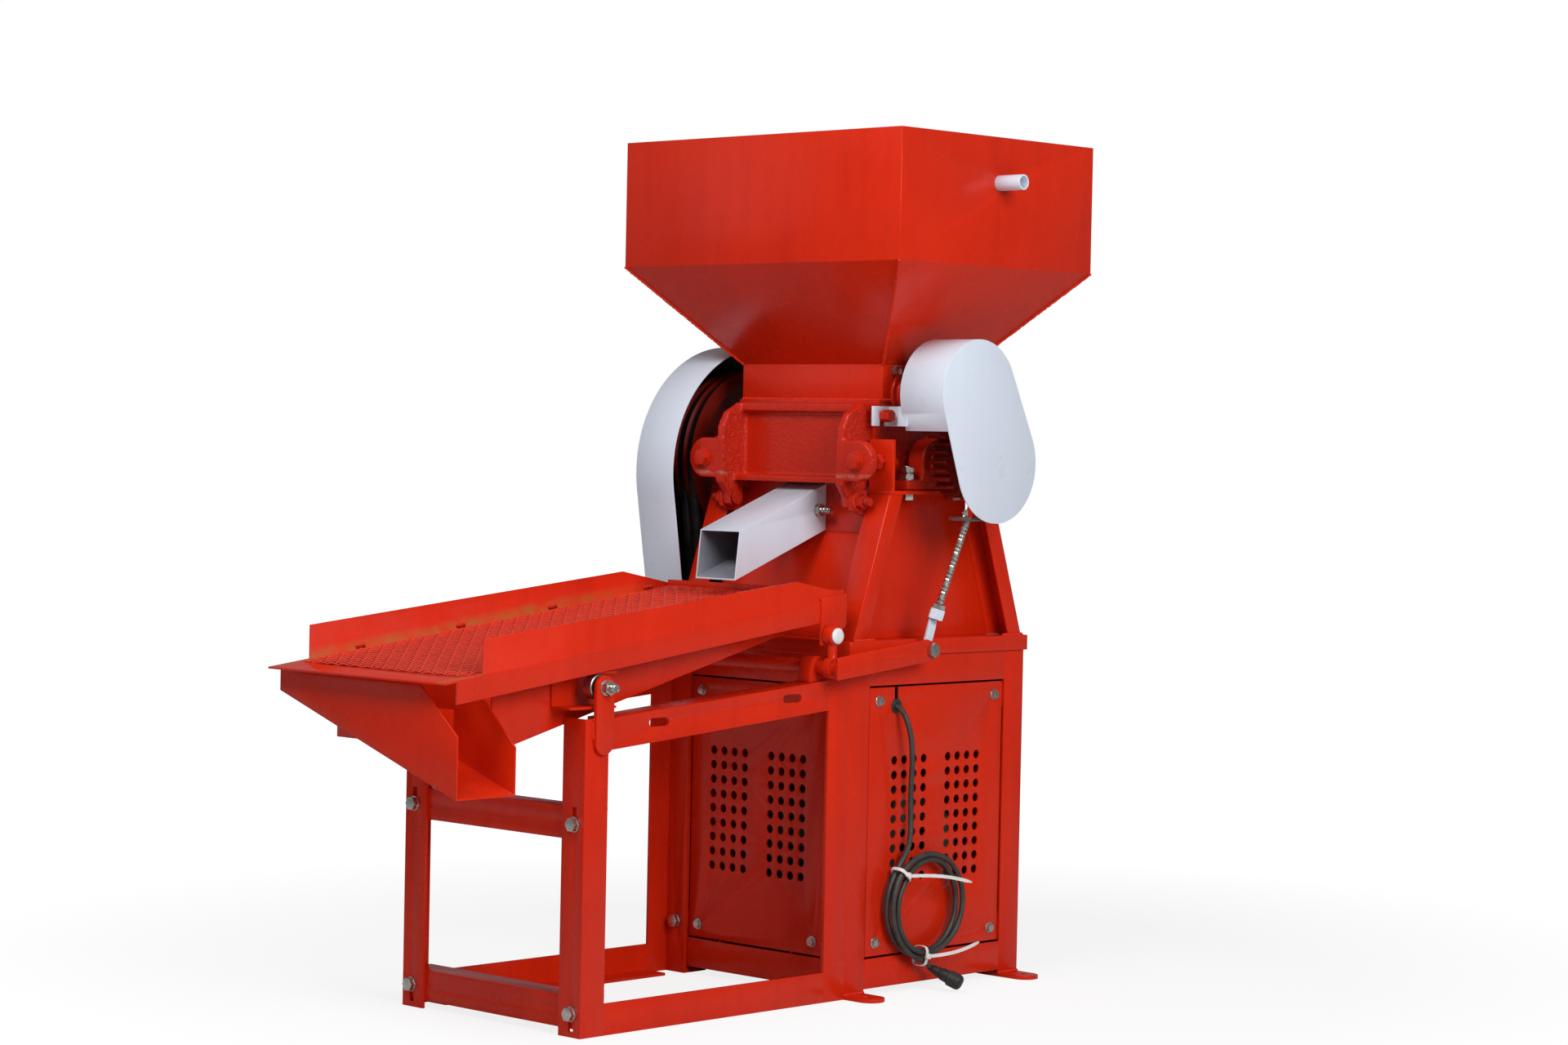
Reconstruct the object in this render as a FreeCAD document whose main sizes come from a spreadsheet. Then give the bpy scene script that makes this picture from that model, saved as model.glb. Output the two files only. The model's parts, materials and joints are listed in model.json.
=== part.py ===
# Coffee huller: hulling head on a motor cabinet, with a shaking sieve on a front stand.
# Millimetres. X runs across the machine, Y from the sieve's mouth to the back, Z up.
# The origin is on the floor, in the middle of the four foot bolts of the cabinet.
import FreeCAD
import Part
import Sketcher
import math
import os
import re

os.makedirs("parts", exist_ok=True)

sizes = {
    # Cabinet of angle iron
    "cabinet_width": 340,
    "cabinet_depth": 360,
    "angle_leg": 40,
    "angle_wall": 4,
    "foot_thick": 5,
    "foot_reach": 50,
    "foot_bolt_out": 25,
    "foot_bolt_inset": 20,
    "foot_hole": 6.5,
    "bottom_rail_level": 10,
    "top_rail_level": 419,
    "tray_level": 480,
    "tray_flange": 21,
    "tray_overhang": 4,
    "sheet_wall": 3,
    "panel_wall": 2,
    "panel_gap": 3,
    "screw_inset": 21,
    "screw_radius": 3,
    "tab_height": 36,
    "vent_hole": 6,
    "vent_pitch": 20,
    "vent_rows": 9,
    "vent_columns": 4,
    "vent_span": 170,
    "vent_low": 156,
    "keyhole_inset": 96.5,
    "keyhole_z": 390,
    "keyhole_radius": 10,
    "keyhole_slot": 7,
    # Motor
    "motor_shaft_level": 180,
    "motor_radius": 86,
    "motor_length": 190,
    "motor_shaft_radius": 12,
    "motor_pulley_radius": 50,
    # Legs under the hulling head
    "leg_foot_inset": 6,
    "leg_head_y": 107,
    "leg_side_flange": 27,
    "leg_front_flange": 40,
    "shelf_level": 682,
    "shelf_wall": 5,
    "hood_inset": 34,
    "cover_tab_y": 98,
    "cover_tab_top": 751,
    # Main shaft
    "main_shaft_level": 721,
    "main_shaft_radius": 12.5,
    "running_clearance": 0.06,
    "pillow_inset": 21,
    "pillow_bolt_y": 49,
    "roller_radius": 70,
    "main_pulley_radius": 125,
    "pulley_out": 42,
    "pulley_width": 36,
    "belt_width": 10.4,
    "belt_thick": 9,
    "gear_module": 4,
    "main_teeth": 22,
    "feed_teeth": 28,
    "gear_out": 15,
    "gear_width": 32,
    "feed_offset": -39,
    "feed_shaft_radius": 10,
    "feed_roller_radius": 24,
    "eccentric_radius": 22,
    "eccentric_throw": 5,
    "eccentric_out": 68,
    "eccentric_width": 13,
    # Hulling head
    "head_inset": 43,
    "head_half_depth": 92,
    "head_low": 622,
    "head_top": 804,
    "chamber_radius": 80,
    "side_wall": 15,
    "neck_margin": 6,
    "neck_half_depth": 86,
    "neck_top": 853,
    "cover_inset": 7,
    "cover_front_y": 150,
    "cover_top": 799,
    "lip_drop": 31,
    "ear_inset": 25,
    "ear_radius": 28,
    "ear_thick": 14,
    "hinge_y": 123,
    "hinge_z": 666,
    # Hopper
    "hopper_half_width": 260.5,
    "hopper_half_depth": 199,
    "hopper_low": 987,
    "hopper_top": 1162,
    "hopper_wall": 2,
    "pipe_level": 1100,
    "pipe_radius": 10.5,
    # Guards
    "guard_wall": 2,
    "gear_guard_low_radius": 81,
    "gear_guard_high_radius": 75,
    "gear_guard_out": 97,
    "gear_guard_back_out": 20,
    "gear_guard_skirt": 763,
    "belt_guard_out": 80,
    "belt_guard_gap": 6,
    "belt_guard_high_level": 700,
    "belt_guard_low_radius": 100,
    # Discharge chute
    "chute_half_width": 38,
    "chute_height": 67,
    "chute_slope": 0.384,
    "chute_mouth_y": 268,
    "chute_bolt_y": 108,
    "chute_gap": 1.4,
    # Stand
    "stand_bolt_radius": 4.9,
    "bar_bolt_inset": 17,
    "bar_bolt_rise": 19.5,
    "post_bolt_inset": 22,
    "post_bolt_rise": 62,
    "slot_front_inset": 127,
    "slot_rear_gap": 110,
    "stand_length": 480,
    "stand_leg_top": 397,
    "stand_rear_top": 430,
    "stand_rail_slope": 0.0823,
    "stand_rail_rear": 433,
    "cross_bar_low": 10,
    "cross_bar_high": 246,
    "ear_plate_inset": 28,
    "track_roller_radius": 16,
    "track_roller_level": 436,
    # Sieve
    "sieve_margin": 1,
    "sieve_slope": 0.1308,
    "sieve_rear_gap": 10,
    "sieve_rear_ridge": 541.6,
    "sieve_length": 680,
    "band_height": 29,
    "sieve_sheet": 2.5,
    "ledge_width": 44,
    "pan_inset": 42,
    "pan_front_low": 357,
    "pan_rear_inset": 27,
    "pan_rear_low": 503,
    "trough_depth": 90,
    "trough_left_low": 420,
    "trough_right_low": 309,
    "trough_out": 4,
    # Rocker
    "rocker_out": 48,
    "rocker_z": 447,
    "rocker_shaft_radius": 10,
    "hanger_z": 490,
    "arm_out": 5,
    "lever_out": 30,
    "lever_wall": 6,
    "lever_height": 30,
    "lever_end_y": -57,
    "lever_end_z": 467,
    "lever_bolt_radius": 6,
    "rod_radius": 5,
    "rod_plate_z": 645,
    "rod_plate_out": 60,
    # Cord
    "cord_radius": 3.75,
    "coil_behind": 50.5,
    "coil_drop": 273,
    "coil_radius": 81,
    "coil_hole": 56,
    "coil_out": 3,
    "coil_thick": 24,
}

document = FreeCAD.newDocument("coffee_huller")
sheet = document.addObject("Spreadsheet::Sheet", "Sizes")
for row, (alias, number) in enumerate(sizes.items(), start=1):
    sheet.set("A%d" % row, alias)
    sheet.set("B%d" % row, str(number))
    sheet.setAlias("B%d" % row, alias)
document.recompute()

# Places that follow from the driving sizes
places = {
    "foot_bolt_x": "cabinet_width / 2 + foot_bolt_out",
    "foot_bolt_y": "cabinet_depth / 2 - foot_bolt_inset",
    "keyhole_y": "keyhole_inset - cabinet_depth / 2",
    "leg_foot_y": "cabinet_depth / 2 - leg_foot_inset",
    "pillow_x": "cabinet_width / 2 - pillow_inset",
    "pulley_x": "-cabinet_width / 2 - pulley_out",
    "gear_x": "cabinet_width / 2 + gear_out",
    "eccentric_x": "cabinet_width / 2 + eccentric_out",
    "head_half_width": "cabinet_width / 2 - head_inset",
    "neck_half_width": "cabinet_width / 2 - head_inset + neck_margin",
    "cover_half_width": "cabinet_width / 2 - head_inset - cover_inset",
    "ear_x": "cabinet_width / 2 - ear_inset",
    "gear_guard_face": "cabinet_width / 2 + gear_guard_out",
    "gear_guard_back": "cabinet_width / 2 + gear_guard_back_out",
    "belt_guard_face": "-cabinet_width / 2 - belt_guard_out",
    "belt_guard_edge": "-cabinet_width / 2 - belt_guard_gap",
    "belt_guard_high_radius": "cabinet_depth / 2",
    "chute_mouth_z": "main_shaft_level - lip_drop - chute_gap - chute_height + 3"
                     " - chute_slope * (chute_mouth_y - head_half_depth)",
    "stand_front_y": "cabinet_depth / 2 + stand_length",
    "ear_plate_y": "cabinet_depth / 2 + stand_length - ear_plate_inset",
    "slot_front_y": "cabinet_depth / 2 + stand_length - slot_front_inset",
    "slot_rear_y": "cabinet_depth / 2 + slot_rear_gap",
    "sieve_half_width": "cabinet_width / 2 - sieve_margin",
    "sieve_rear_y": "cabinet_depth / 2 + sieve_rear_gap",
    "sieve_front_y": "cabinet_depth / 2 + sieve_rear_gap + sieve_length",
    "trough_front_y": "cabinet_depth / 2 + sieve_rear_gap + sieve_length + sieve_sheet",
    "trough_back_y": "cabinet_depth / 2 + sieve_rear_gap + sieve_length - trough_depth",
    "trough_right_x": "cabinet_width / 2 + trough_out",
    "pan_half_width": "cabinet_width / 2 - sieve_margin - pan_inset",
    "pan_front_y": "cabinet_depth / 2 + sieve_rear_gap + sieve_length - trough_depth - sieve_sheet",
    "pan_rear_y": "cabinet_depth / 2 + sieve_rear_gap + pan_rear_inset",
    "rocker_y": "-cabinet_depth / 2 - rocker_out",
    "arm_x": "cabinet_width / 2 + arm_out",
    "lever_x": "cabinet_width / 2 + lever_out",
    "rod_plate_x": "cabinet_width / 2 + rod_plate_out",
    "coil_x": "cabinet_width / 2 + coil_out",
    "coil_y": "keyhole_inset - cabinet_depth / 2 + coil_behind",
    "coil_z": "keyhole_z - coil_drop",
}
marks = document.addObject("App::FeaturePython", "Places")

parts_made = []
upright = FreeCAD.Rotation()
facing = {
    "+Z": upright,
    "-Z": FreeCAD.Rotation(FreeCAD.Vector(1, 0, 0), 180),
    "+X": FreeCAD.Rotation(FreeCAD.Vector(0, 1, 0), 90),
    "-X": FreeCAD.Rotation(FreeCAD.Vector(0, 1, 0), -90),
    "+Y": FreeCAD.Rotation(FreeCAD.Vector(1, 0, 0), -90),
    "-Y": FreeCAD.Rotation(FreeCAD.Vector(1, 0, 0), 90),
}


def size(alias):
    """The value of one driving dimension or of a place that follows from them."""
    if alias in places:
        return float(getattr(marks, alias))
    return float(sheet.get(alias))


def linked(formula):
    """A formula whose words point at the sheet's cells and at the places."""
    words = re.split(r"([a-z][a-z_]*)", str(formula))
    owners = {word: "Sizes." for word in sizes}
    owners.update({word: "Places." for word in places})
    return "".join(owners.get(word, "") + word for word in words)


for alias, formula in places.items():
    marks.addProperty("App::PropertyFloat", alias)
    marks.setExpression(alias, linked(formula))
document.recompute()


def bind(thing, **formulas):
    for name, formula in formulas.items():
        thing.setExpression(name, linked(formula))


def place(thing, x, y, z, rotation=upright):
    thing.Placement = FreeCAD.Placement(FreeCAD.Vector(), rotation)
    for axis, formula in zip("xyz", (x, y, z)):
        thing.setExpression("Placement.Base." + axis, linked(formula))
    return thing


def block(name, xs, ys, zs):
    """A box between two formulas along each axis."""
    box = document.addObject("Part::Box", name)
    bind(box, Length="(%s) - (%s)" % (xs[1], xs[0]))
    bind(box, Width="(%s) - (%s)" % (ys[1], ys[0]))
    bind(box, Height="(%s) - (%s)" % (zs[1], zs[0]))
    return place(box, xs[0], ys[0], zs[0])


def rod(name, direction, base, radius, length):
    """A cylinder that starts at base and runs in a named direction."""
    cylinder = document.addObject("Part::Cylinder", name)
    bind(cylinder, Radius=radius, Height=length)
    return place(cylinder, *base, rotation=facing[direction])


def hexagon(name, direction, base, across_corners, length):
    prism = document.addObject("Part::Prism", name)
    prism.Polygon = 6
    bind(prism, Circumradius="(%s) / 2" % across_corners, Height=length)
    return place(prism, *base, rotation=facing[direction])


def fused(name, shapes):
    if len(shapes) == 1:
        return shapes[0]
    fusion = document.addObject("Part::MultiFuse", name)
    fusion.Shapes = shapes
    return fusion


def cut(name, base, tools):
    result = document.addObject("Part::Cut", name)
    result.Base = base
    result.Tool = fused(name + "_tools", tools)
    return result


def group(name, members):
    """Several separate solids in one sub-part."""
    compound = document.addObject("Part::Compound", name)
    compound.Links = members
    return compound


def mirrored(thing, normal):
    mirror = document.addObject("Part::Mirroring", thing.Name + "_mirror")
    mirror.Source = thing
    mirror.Base = FreeCAD.Vector()
    mirror.Normal = normal
    return mirror


def both_sides(thing):
    """The thing and its mirror image left to right."""
    return [thing, mirrored(thing, FreeCAD.Vector(1, 0, 0))]


def both_ends(thing):
    """The thing and its mirror image front to back."""
    return [thing, mirrored(thing, FreeCAD.Vector(0, 1, 0))]


def four_corners(thing):
    return [copy for side in both_sides(thing) for copy in both_ends(side)]


def keep(label, thing):
    """Names a finished sub-part."""
    thing.Label = label
    parts_made.append(thing)
    return thing


def origin_plane(body, role):
    return next(item for item in body.Origin.OriginFeatures if item.Role == role)


def outline(body, plane, points, offset="0"):
    """A closed sketch whose corners are all tied to the sheet."""
    sketch = body.newObject("Sketcher::SketchObject", body.Name + "_sketch")
    sketch.AttachmentSupport = [(origin_plane(body, plane), "")]
    sketch.MapMode = "FlatFace"
    sketch.setExpression("AttachmentOffset.Base.z", linked(offset))
    count = len(points)
    ring = []
    for index in range(count):
        turn = 2 * math.pi * index / count
        ring.append(FreeCAD.Vector(90 * math.cos(turn), 90 * math.sin(turn), 0))
    for index in range(count):
        sketch.addGeometry(Part.LineSegment(ring[index], ring[(index + 1) % count]), False)
    for index in range(count):
        sketch.addConstraint(Sketcher.Constraint("Coincident", index, 2, (index + 1) % count, 1))
    for index, corner in enumerate(points):
        for kind, start, formula in zip(("DistanceX", "DistanceY"), ring[index], corner):
            tie = sketch.addConstraint(Sketcher.Constraint(kind, -1, 1, index, 1, start))
            sketch.setExpression("Constraints[%d]" % tie, linked(formula))
    return sketch


def prism(name, plane, points, start, length):
    """An outline on an origin plane, padded from start along the plane's normal."""
    body = document.addObject("PartDesign::Body", name)
    sketch = outline(body, plane, points, start)
    pad = body.newObject("PartDesign::Pad", name + "_pad")
    pad.Profile = sketch
    bind(pad, Length=length)
    sketch.Visibility = False
    body.Tip = pad
    return body


def turned(name, points, x, y, z):
    """A profile of (along X, radius) points turned about an axis parallel to X."""
    body = document.addObject("PartDesign::Body", name)
    sketch = outline(body, "XZ_Plane", points)
    turn = body.newObject("PartDesign::Revolution", name + "_turn")
    turn.Profile = sketch
    turn.ReferenceAxis = (sketch, ["H_Axis"])
    turn.Angle = 360
    body.Tip = turn
    return place(body, x, y, z)


def bolt(name, direction, base, radius, length, head, head_high, washer=0):
    """A hexagon bolt: the head's outer face at base, the shank after it."""
    axis = "XYZ".index(direction[1])
    sign = direction[0]
    seat = list(base)
    seat[axis] = "(%s) %s (%s)" % (base[axis], sign, head_high)
    pieces = [hexagon(name + "_head", direction, base, head, head_high)]
    if washer:
        pieces.append(rod(name + "_washer", direction, seat, washer, "1.6"))
    pieces.append(rod(name + "_shank", direction, seat, radius, length))
    return fused(name, pieces)


def beam(name, start, end, radius):
    """A round bar between two points that are worked out from the sheet."""
    bar = document.addObject("Part::Feature", name)
    bar.Shape = Part.makeCylinder(radius, (end - start).Length, FreeCAD.Vector(), end - start)
    bar.Placement.Base = start
    return bar


# Cabinet
half_width = "cabinet_width / 2"
half_depth = "cabinet_depth / 2"
post_inner_x = "(cabinet_width / 2 - angle_leg)"
post_inner_y = "(cabinet_depth / 2 - angle_leg)"


def cabinet_frame():
    corner = prism("post", "XY_Plane", [
        (half_width, half_depth),
        ("%s - angle_leg" % half_width, half_depth),
        ("%s - angle_leg" % half_width, "%s - angle_wall" % half_depth),
        ("%s - angle_wall" % half_width, "%s - angle_wall" % half_depth),
        ("%s - angle_wall" % half_width, "%s - angle_leg" % half_depth),
        (half_width, "%s - angle_leg" % half_depth),
    ], "foot_thick", "tray_level - sheet_wall - foot_thick")
    drill = rod("post_drill", "+Y", (half_width + " - post_bolt_inset", "-(%s) - 1" % half_depth,
                                     "cross_bar_low + post_bolt_rise"),
                "stand_bolt_radius", "angle_wall + 2")
    front = cut("front_post", mirrored(corner, FreeCAD.Vector(0, 1, 0)), [drill])
    members = both_sides(corner) + both_sides(front)
    for level in ("bottom_rail_level", "top_rail_level"):
        side = fused("side_rail_" + level, [
            block("web_a", (half_width + " - angle_wall", half_width),
                  ("-" + post_inner_y, post_inner_y), (level, level + " + angle_leg")),
            block("web_b", (post_inner_x, half_width),
                  ("-" + post_inner_y, post_inner_y), (level, level + " + angle_wall")),
        ])
        end = fused("end_rail_" + level, [
            block("web_c", ("-" + post_inner_x, post_inner_x),
                  (half_depth + " - angle_wall", half_depth), (level, level + " + angle_leg")),
            block("web_d", ("-" + post_inner_x, post_inner_x),
                  (post_inner_y, half_depth), (level, level + " + angle_wall")),
        ])
        members += both_sides(side) + both_ends(end)
    members += panel_tabs() + both_sides(motor_rail())
    return keep("cabinet_frame", group("cabinet_frame", members))


def panel_tabs():
    """Small plates behind the panel corners, welded inside the posts."""
    members = []
    x = half_width + " - angle_wall"
    y = half_depth + " - angle_wall"
    for middle in screw_levels:
        heights = (middle + " - tab_height / 2", middle + " + tab_height / 2")
        side = block("side_tab", (x + " - sheet_wall", x), (post_inner_y + " - 32", post_inner_y + " + 20"),
                     heights)
        side_hole = rod("side_tab_hole", "-X", (x + " + 1", post_inner_y + " - screw_inset", middle),
                        "screw_radius", "sheet_wall + 2")
        end = block("end_tab", (post_inner_x + " - 32", post_inner_x + " + 6"), (y + " - sheet_wall", y),
                    heights)
        end_hole = rod("end_tab_hole", "-Y", (post_inner_x + " - screw_inset", y + " + 1", middle),
                       "screw_radius", "sheet_wall + 2")
        members += four_corners(cut("side_tab_cut", side, [side_hole]))
        members += four_corners(cut("end_tab_cut", end, [end_hole]))
    return members


motor_base = "(motor_shaft_level - 90)"
panel_low = "(bottom_rail_level + angle_leg + panel_gap)"
panel_high = "(top_rail_level - panel_gap)"
screw_levels = (panel_low + " + screw_inset - panel_gap", panel_high + " - screw_inset + panel_gap")


def vented_panel(label, half_span, rotation, x, y, keyhole=False, vents=True, shaft_hole=False,
                 gap="panel_gap"):
    """A sheet panel in the XZ plane, its outer face towards -Y, with two blocks of round holes."""
    body = document.addObject("PartDesign::Body", label + "_body")
    low_corner = "-(%s) + %s" % (half_span, gap)
    high_corner = "(%s) - %s" % (half_span, gap)
    sketch = outline(body, "XZ_Plane", [(low_corner, panel_low), (high_corner, panel_low),
                                        (high_corner, panel_high), (low_corner, panel_high)])
    pad = body.newObject("PartDesign::Pad", label + "_sheet")
    pad.Profile = sketch
    bind(pad, Length="panel_wall")
    body.Tip = pad
    if vents:
        dot = body.newObject("Sketcher::SketchObject", label + "_vent_sketch")
        dot.AttachmentSupport = [(origin_plane(body, "XZ_Plane"), "")]
        dot.MapMode = "FlatFace"
        dot.addGeometry(Part.Circle(FreeCAD.Vector(-85, 156, 0), FreeCAD.Vector(0, 0, 1), 6), False)
        ties = [("Radius", "vent_hole"), ("DistanceX", "-vent_span / 2"), ("DistanceY", "vent_low")]
        for kind, formula in ties:
            if kind == "Radius":
                index = dot.addConstraint(Sketcher.Constraint(kind, 0, 6))
            else:
                index = dot.addConstraint(Sketcher.Constraint(kind, -1, 1, 0, 3,
                                                              -50 if kind == "DistanceX" else 50))
            dot.setExpression("Constraints[%d]" % index, linked(formula))
        document.recompute()
        hole = body.newObject("PartDesign::Pocket", label + "_vent")
        hole.Profile = dot
        hole.Type = 1
        hole.Midplane = True
        body.Tip = hole
        document.recompute()
        repeat = body.newObject("PartDesign::MultiTransform", label + "_vents")
        repeat.Originals = [hole]
        steps = []
        plans = (("V_Axis", "vent_pitch * (vent_rows - 1)", size("vent_rows")),
                 ("H_Axis", "vent_pitch * (vent_columns - 1)", size("vent_columns")),
                 ("H_Axis", "vent_span - vent_pitch * (vent_columns - 1)", 2))
        for axis, length, count in plans:
            step = body.newObject("PartDesign::LinearPattern", label + "_step")
            step.Direction = (dot, [axis])
            bind(step, Length=length)
            step.Occurrences = int(count)
            steps.append(step)
        repeat.Transformations = steps
        body.Tip = repeat
    place(body, "0", "0", "0")
    tools = []
    for middle in screw_levels:
        hole = rod(label + "_screw_hole", "-Y", ("(%s) - screw_inset" % half_span, "1", middle),
                   "screw_radius", "panel_wall + 2")
        tools += both_sides(hole)
    if keyhole:
        tools.append(rod("keyhole_round", "-Y", ("keyhole_y", "1", "keyhole_z"), "keyhole_radius", "4"))
        tools.append(block("keyhole_slit", ("keyhole_y - keyhole_slot / 2", "keyhole_y + keyhole_slot / 2"),
                           ("-3", "1"), ("keyhole_z", panel_high + " + 1")))
    if shaft_hole:
        tools.append(rod("shaft_hole", "-Y", ("0", "1", "motor_shaft_level"), "motor_shaft_radius + 12",
                         "4"))
    result = cut(label + "_cut", body, tools)
    return keep(label, place(result, x, y, "0", rotation))


def turned_about_z(angle):
    return FreeCAD.Rotation(FreeCAD.Vector(0, 0, 1), angle)


def panels():
    side = post_inner_y
    end = post_inner_x
    outer_x = half_width + " - angle_wall"
    outer_y = half_depth + " - angle_wall"
    vented_panel("front_panel", end, turned_about_z(0), "0", "-(%s)" % outer_y)
    vented_panel("rear_panel", end, turned_about_z(180), "0", outer_y, vents=False, gap="panel_gap / 8")
    vented_panel("right_door", side, turned_about_z(90), outer_x, "0", keyhole=True)
    vented_panel("left_panel", side, turned_about_z(-90), "-(%s)" % outer_x, "0", vents=False,
                 shaft_hole=True, gap="panel_gap / 8")


def panel_screws():
    members = []
    for height in screw_levels:
        face_x = half_width + " - angle_wall + panel_wall"
        face_y = half_depth + " - angle_wall + panel_wall"
        side = bolt("side_screw", "-X", (face_x + " + 5.6", post_inner_y + " - screw_inset", height),
                    "screw_radius", "9", "12", "4", "7.5")
        end = bolt("end_screw", "-Y", (post_inner_x + " - screw_inset", face_y + " + 5.6", height),
                   "screw_radius", "9", "12", "4", "7.5")
        members += four_corners(side) + four_corners(end)
    return keep("panel_screws", group("panel_screws", members))


def foot_tabs():
    plate = block("foot_plate", (half_width + " - angle_leg", half_width + " + foot_reach - 20"),
                  ("foot_bolt_y - 20", "foot_bolt_y + 20"), ("0", "foot_thick"))
    end = rod("foot_end", "+Z", (half_width + " + foot_reach - 20", "foot_bolt_y", "0"), "20", "foot_thick")
    hole = rod("foot_bolt_hole", "+Z", ("foot_bolt_x", "foot_bolt_y", "-1"), "foot_hole", "foot_thick + 2")
    tab = cut("foot_tab", fused("foot_blank", [plate, end]), [hole])
    return keep("foot_tabs", group("foot_tabs", four_corners(tab)))


def base_tray():
    over_x = half_width + " + tray_overhang"
    over_y = half_depth + " + tray_overhang"
    outer = block("tray_outer", ("-(%s)" % over_x, over_x), ("-(%s)" % over_y, over_y),
                  ("tray_level - tray_flange", "tray_level"))
    inner = block("tray_inner", ("-(%s) + sheet_wall" % over_x, over_x + " - sheet_wall"),
                  ("-(%s) + sheet_wall" % over_y, over_y + " - sheet_wall"),
                  ("tray_level - tray_flange - 1", "tray_level - sheet_wall"))
    return keep("base_tray", cut("base_tray", outer, [inner]))


def motor_rail():
    """A channel across the cabinet's bottom rails that one side of the motor stands on."""
    floor = "bottom_rail_level + angle_wall"
    rail = block("motor_rail", ("-70", "-40"),
                 ("-(%s) + angle_wall" % half_depth, half_depth + " - angle_wall"),
                 (floor, motor_base))
    hollow = block("motor_rail_hollow", ("-67", "-37"), ("-(%s)" % half_depth, half_depth),
                   (floor + " + 3", motor_base + " - 3"))
    return cut("motor_channel", rail, [hollow])


# Motor
def motor_parts():
    rail_top = motor_base
    barrel = rod("motor_barrel", "+X", ("-motor_length / 2", "0", "motor_shaft_level"), "motor_radius",
                 "motor_length")
    cowl = rod("motor_cowl", "+X", ("motor_length / 2", "0", "motor_shaft_level"), "motor_radius - 3", "45")
    feet = block("motor_feet", ("-66", "66"), ("-80", "80"), (rail_top, "motor_shaft_level - 60"))
    terminal = block("terminal_box", ("-40", "30"), ("-45", "45"),
                     ("motor_shaft_level + 60", "motor_shaft_level + motor_radius + 30"))
    bore = rod("motor_bore", "+X", ("-motor_length / 2 - 1", "0", "motor_shaft_level"),
               "motor_shaft_radius + running_clearance", "motor_length + 14")
    body = cut("motor_body", fused("motor_blank", [barrel, cowl, feet, terminal]), [bore])
    keep("motor_body", body)
    reach = "pulley_x - pulley_width / 2"
    keep("motor_shaft", rod("motor_shaft", "+X", (reach, "0", "motor_shaft_level"), "motor_shaft_radius",
                            "motor_length / 2 + 10 - (%s)" % reach))
    pulley("motor_pulley", "motor_pulley_radius", "motor_shaft_radius", "motor_shaft_level")


def pulley(label, radius, bore, level):
    """A two-groove belt pulley, turned, with its web and hub."""
    half = "pulley_width / 2"
    points = [("-(%s)" % half, bore), ("-(%s)" % half, radius)]
    for centre in ("-9", "9"):
        points += [("%s - 8" % centre, radius), ("%s - 5.2" % centre, "%s - 14" % radius),
                   ("%s + 5.2" % centre, "%s - 14" % radius), ("%s + 8" % centre, radius)]
    points += [(half, radius), (half, bore)]
    body = turned(label + "_rim", points, "pulley_x", "0", level)
    if radius == "motor_pulley_radius":
        return keep(label, body)
    dish_outer = rod(label + "_dish_outer", "+X", ("pulley_x + 6", "0", level), "%s - 22" % radius, half)
    dish_core = rod(label + "_dish_core", "+X", ("pulley_x + 5", "0", level), "30", "pulley_width")
    dish = cut(label + "_dish", dish_outer, [dish_core])
    back = mirrored(dish, FreeCAD.Vector(1, 0, 0))
    back.setExpression("Base.x", linked("pulley_x"))
    return keep(label, cut(label, body, [dish, back]))


def belts():
    """Two belts round both pulleys, each clear of its grooves."""
    members = []
    high = FreeCAD.Vector(0, 0, size("main_shaft_level"))
    low = FreeCAD.Vector(0, 0, size("motor_shaft_level"))
    inner_drop = 13.4
    for number, shift in enumerate((-9, 9)):
        loops = []
        for grow in (0, size("belt_thick")):
            loops.append(two_circle_face(high, size("main_pulley_radius") - inner_drop + grow,
                                         low, size("motor_pulley_radius") - inner_drop + grow))
        ring = loops[1].cut(loops[0])
        belt = document.addObject("Part::Feature", "belt_%d" % number)
        belt.Shape = ring.extrude(FreeCAD.Vector(size("belt_width"), 0, 0))
        belt.Placement.Base = FreeCAD.Vector(size("pulley_x") + shift - size("belt_width") / 2, 0, 0)
        members.append(belt)
    return keep("drive_belts", group("drive_belts", members))


def two_circle_face(centre_a, radius_a, centre_b, radius_b):
    """The face in the YZ plane that an endless tight band round two circles encloses."""
    along = centre_b - centre_a
    distance = along.Length
    heading = math.atan2(along.z, along.y)
    lean = math.acos((radius_a - radius_b) / distance)

    def rim(centre, radius, angle):
        return centre + FreeCAD.Vector(0, radius * math.cos(angle), radius * math.sin(angle))

    left = heading + lean
    right = heading - lean
    a_left = rim(centre_a, radius_a, left)
    a_right = rim(centre_a, radius_a, right)
    b_left = rim(centre_b, radius_b, left)
    b_right = rim(centre_b, radius_b, right)
    edges = [
        Part.Arc(a_left, rim(centre_a, radius_a, heading + math.pi), a_right).toShape(),
        Part.LineSegment(a_right, b_right).toShape(),
        Part.Arc(b_right, rim(centre_b, radius_b, heading), b_left).toShape(),
        Part.LineSegment(b_left, a_left).toShape(),
    ]
    return Part.Face(Part.Wire(edges))


# Legs, shelves and hood
leg_bottom = "tray_level"
leg_top = "(shelf_level - shelf_wall)"
leg_lean = "((leg_foot_y - leg_head_y) / (shelf_level - shelf_wall - tray_level))"


def a_frame_legs():
    """Leaning angle irons, ridge outwards, from the tray up to the shelves."""
    wide = "leg_side_flange"
    side = prism("leg_side", "YZ_Plane", [
        ("-leg_foot_y", leg_bottom), ("-leg_foot_y + " + wide, leg_bottom),
        ("-leg_head_y + " + wide, leg_top), ("-leg_head_y", leg_top)],
        half_width + " - angle_wall", "angle_wall")
    front = prism("leg_front", "YZ_Plane", [
        ("-leg_foot_y", leg_bottom), ("-leg_foot_y + angle_wall", leg_bottom),
        ("-leg_head_y + angle_wall", leg_top), ("-leg_head_y", leg_top)],
        half_width + " - leg_front_flange", "leg_front_flange")
    return keep("a_frame_legs", group("a_frame_legs", four_corners(fused("a_frame_leg", [side, front]))))


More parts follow.
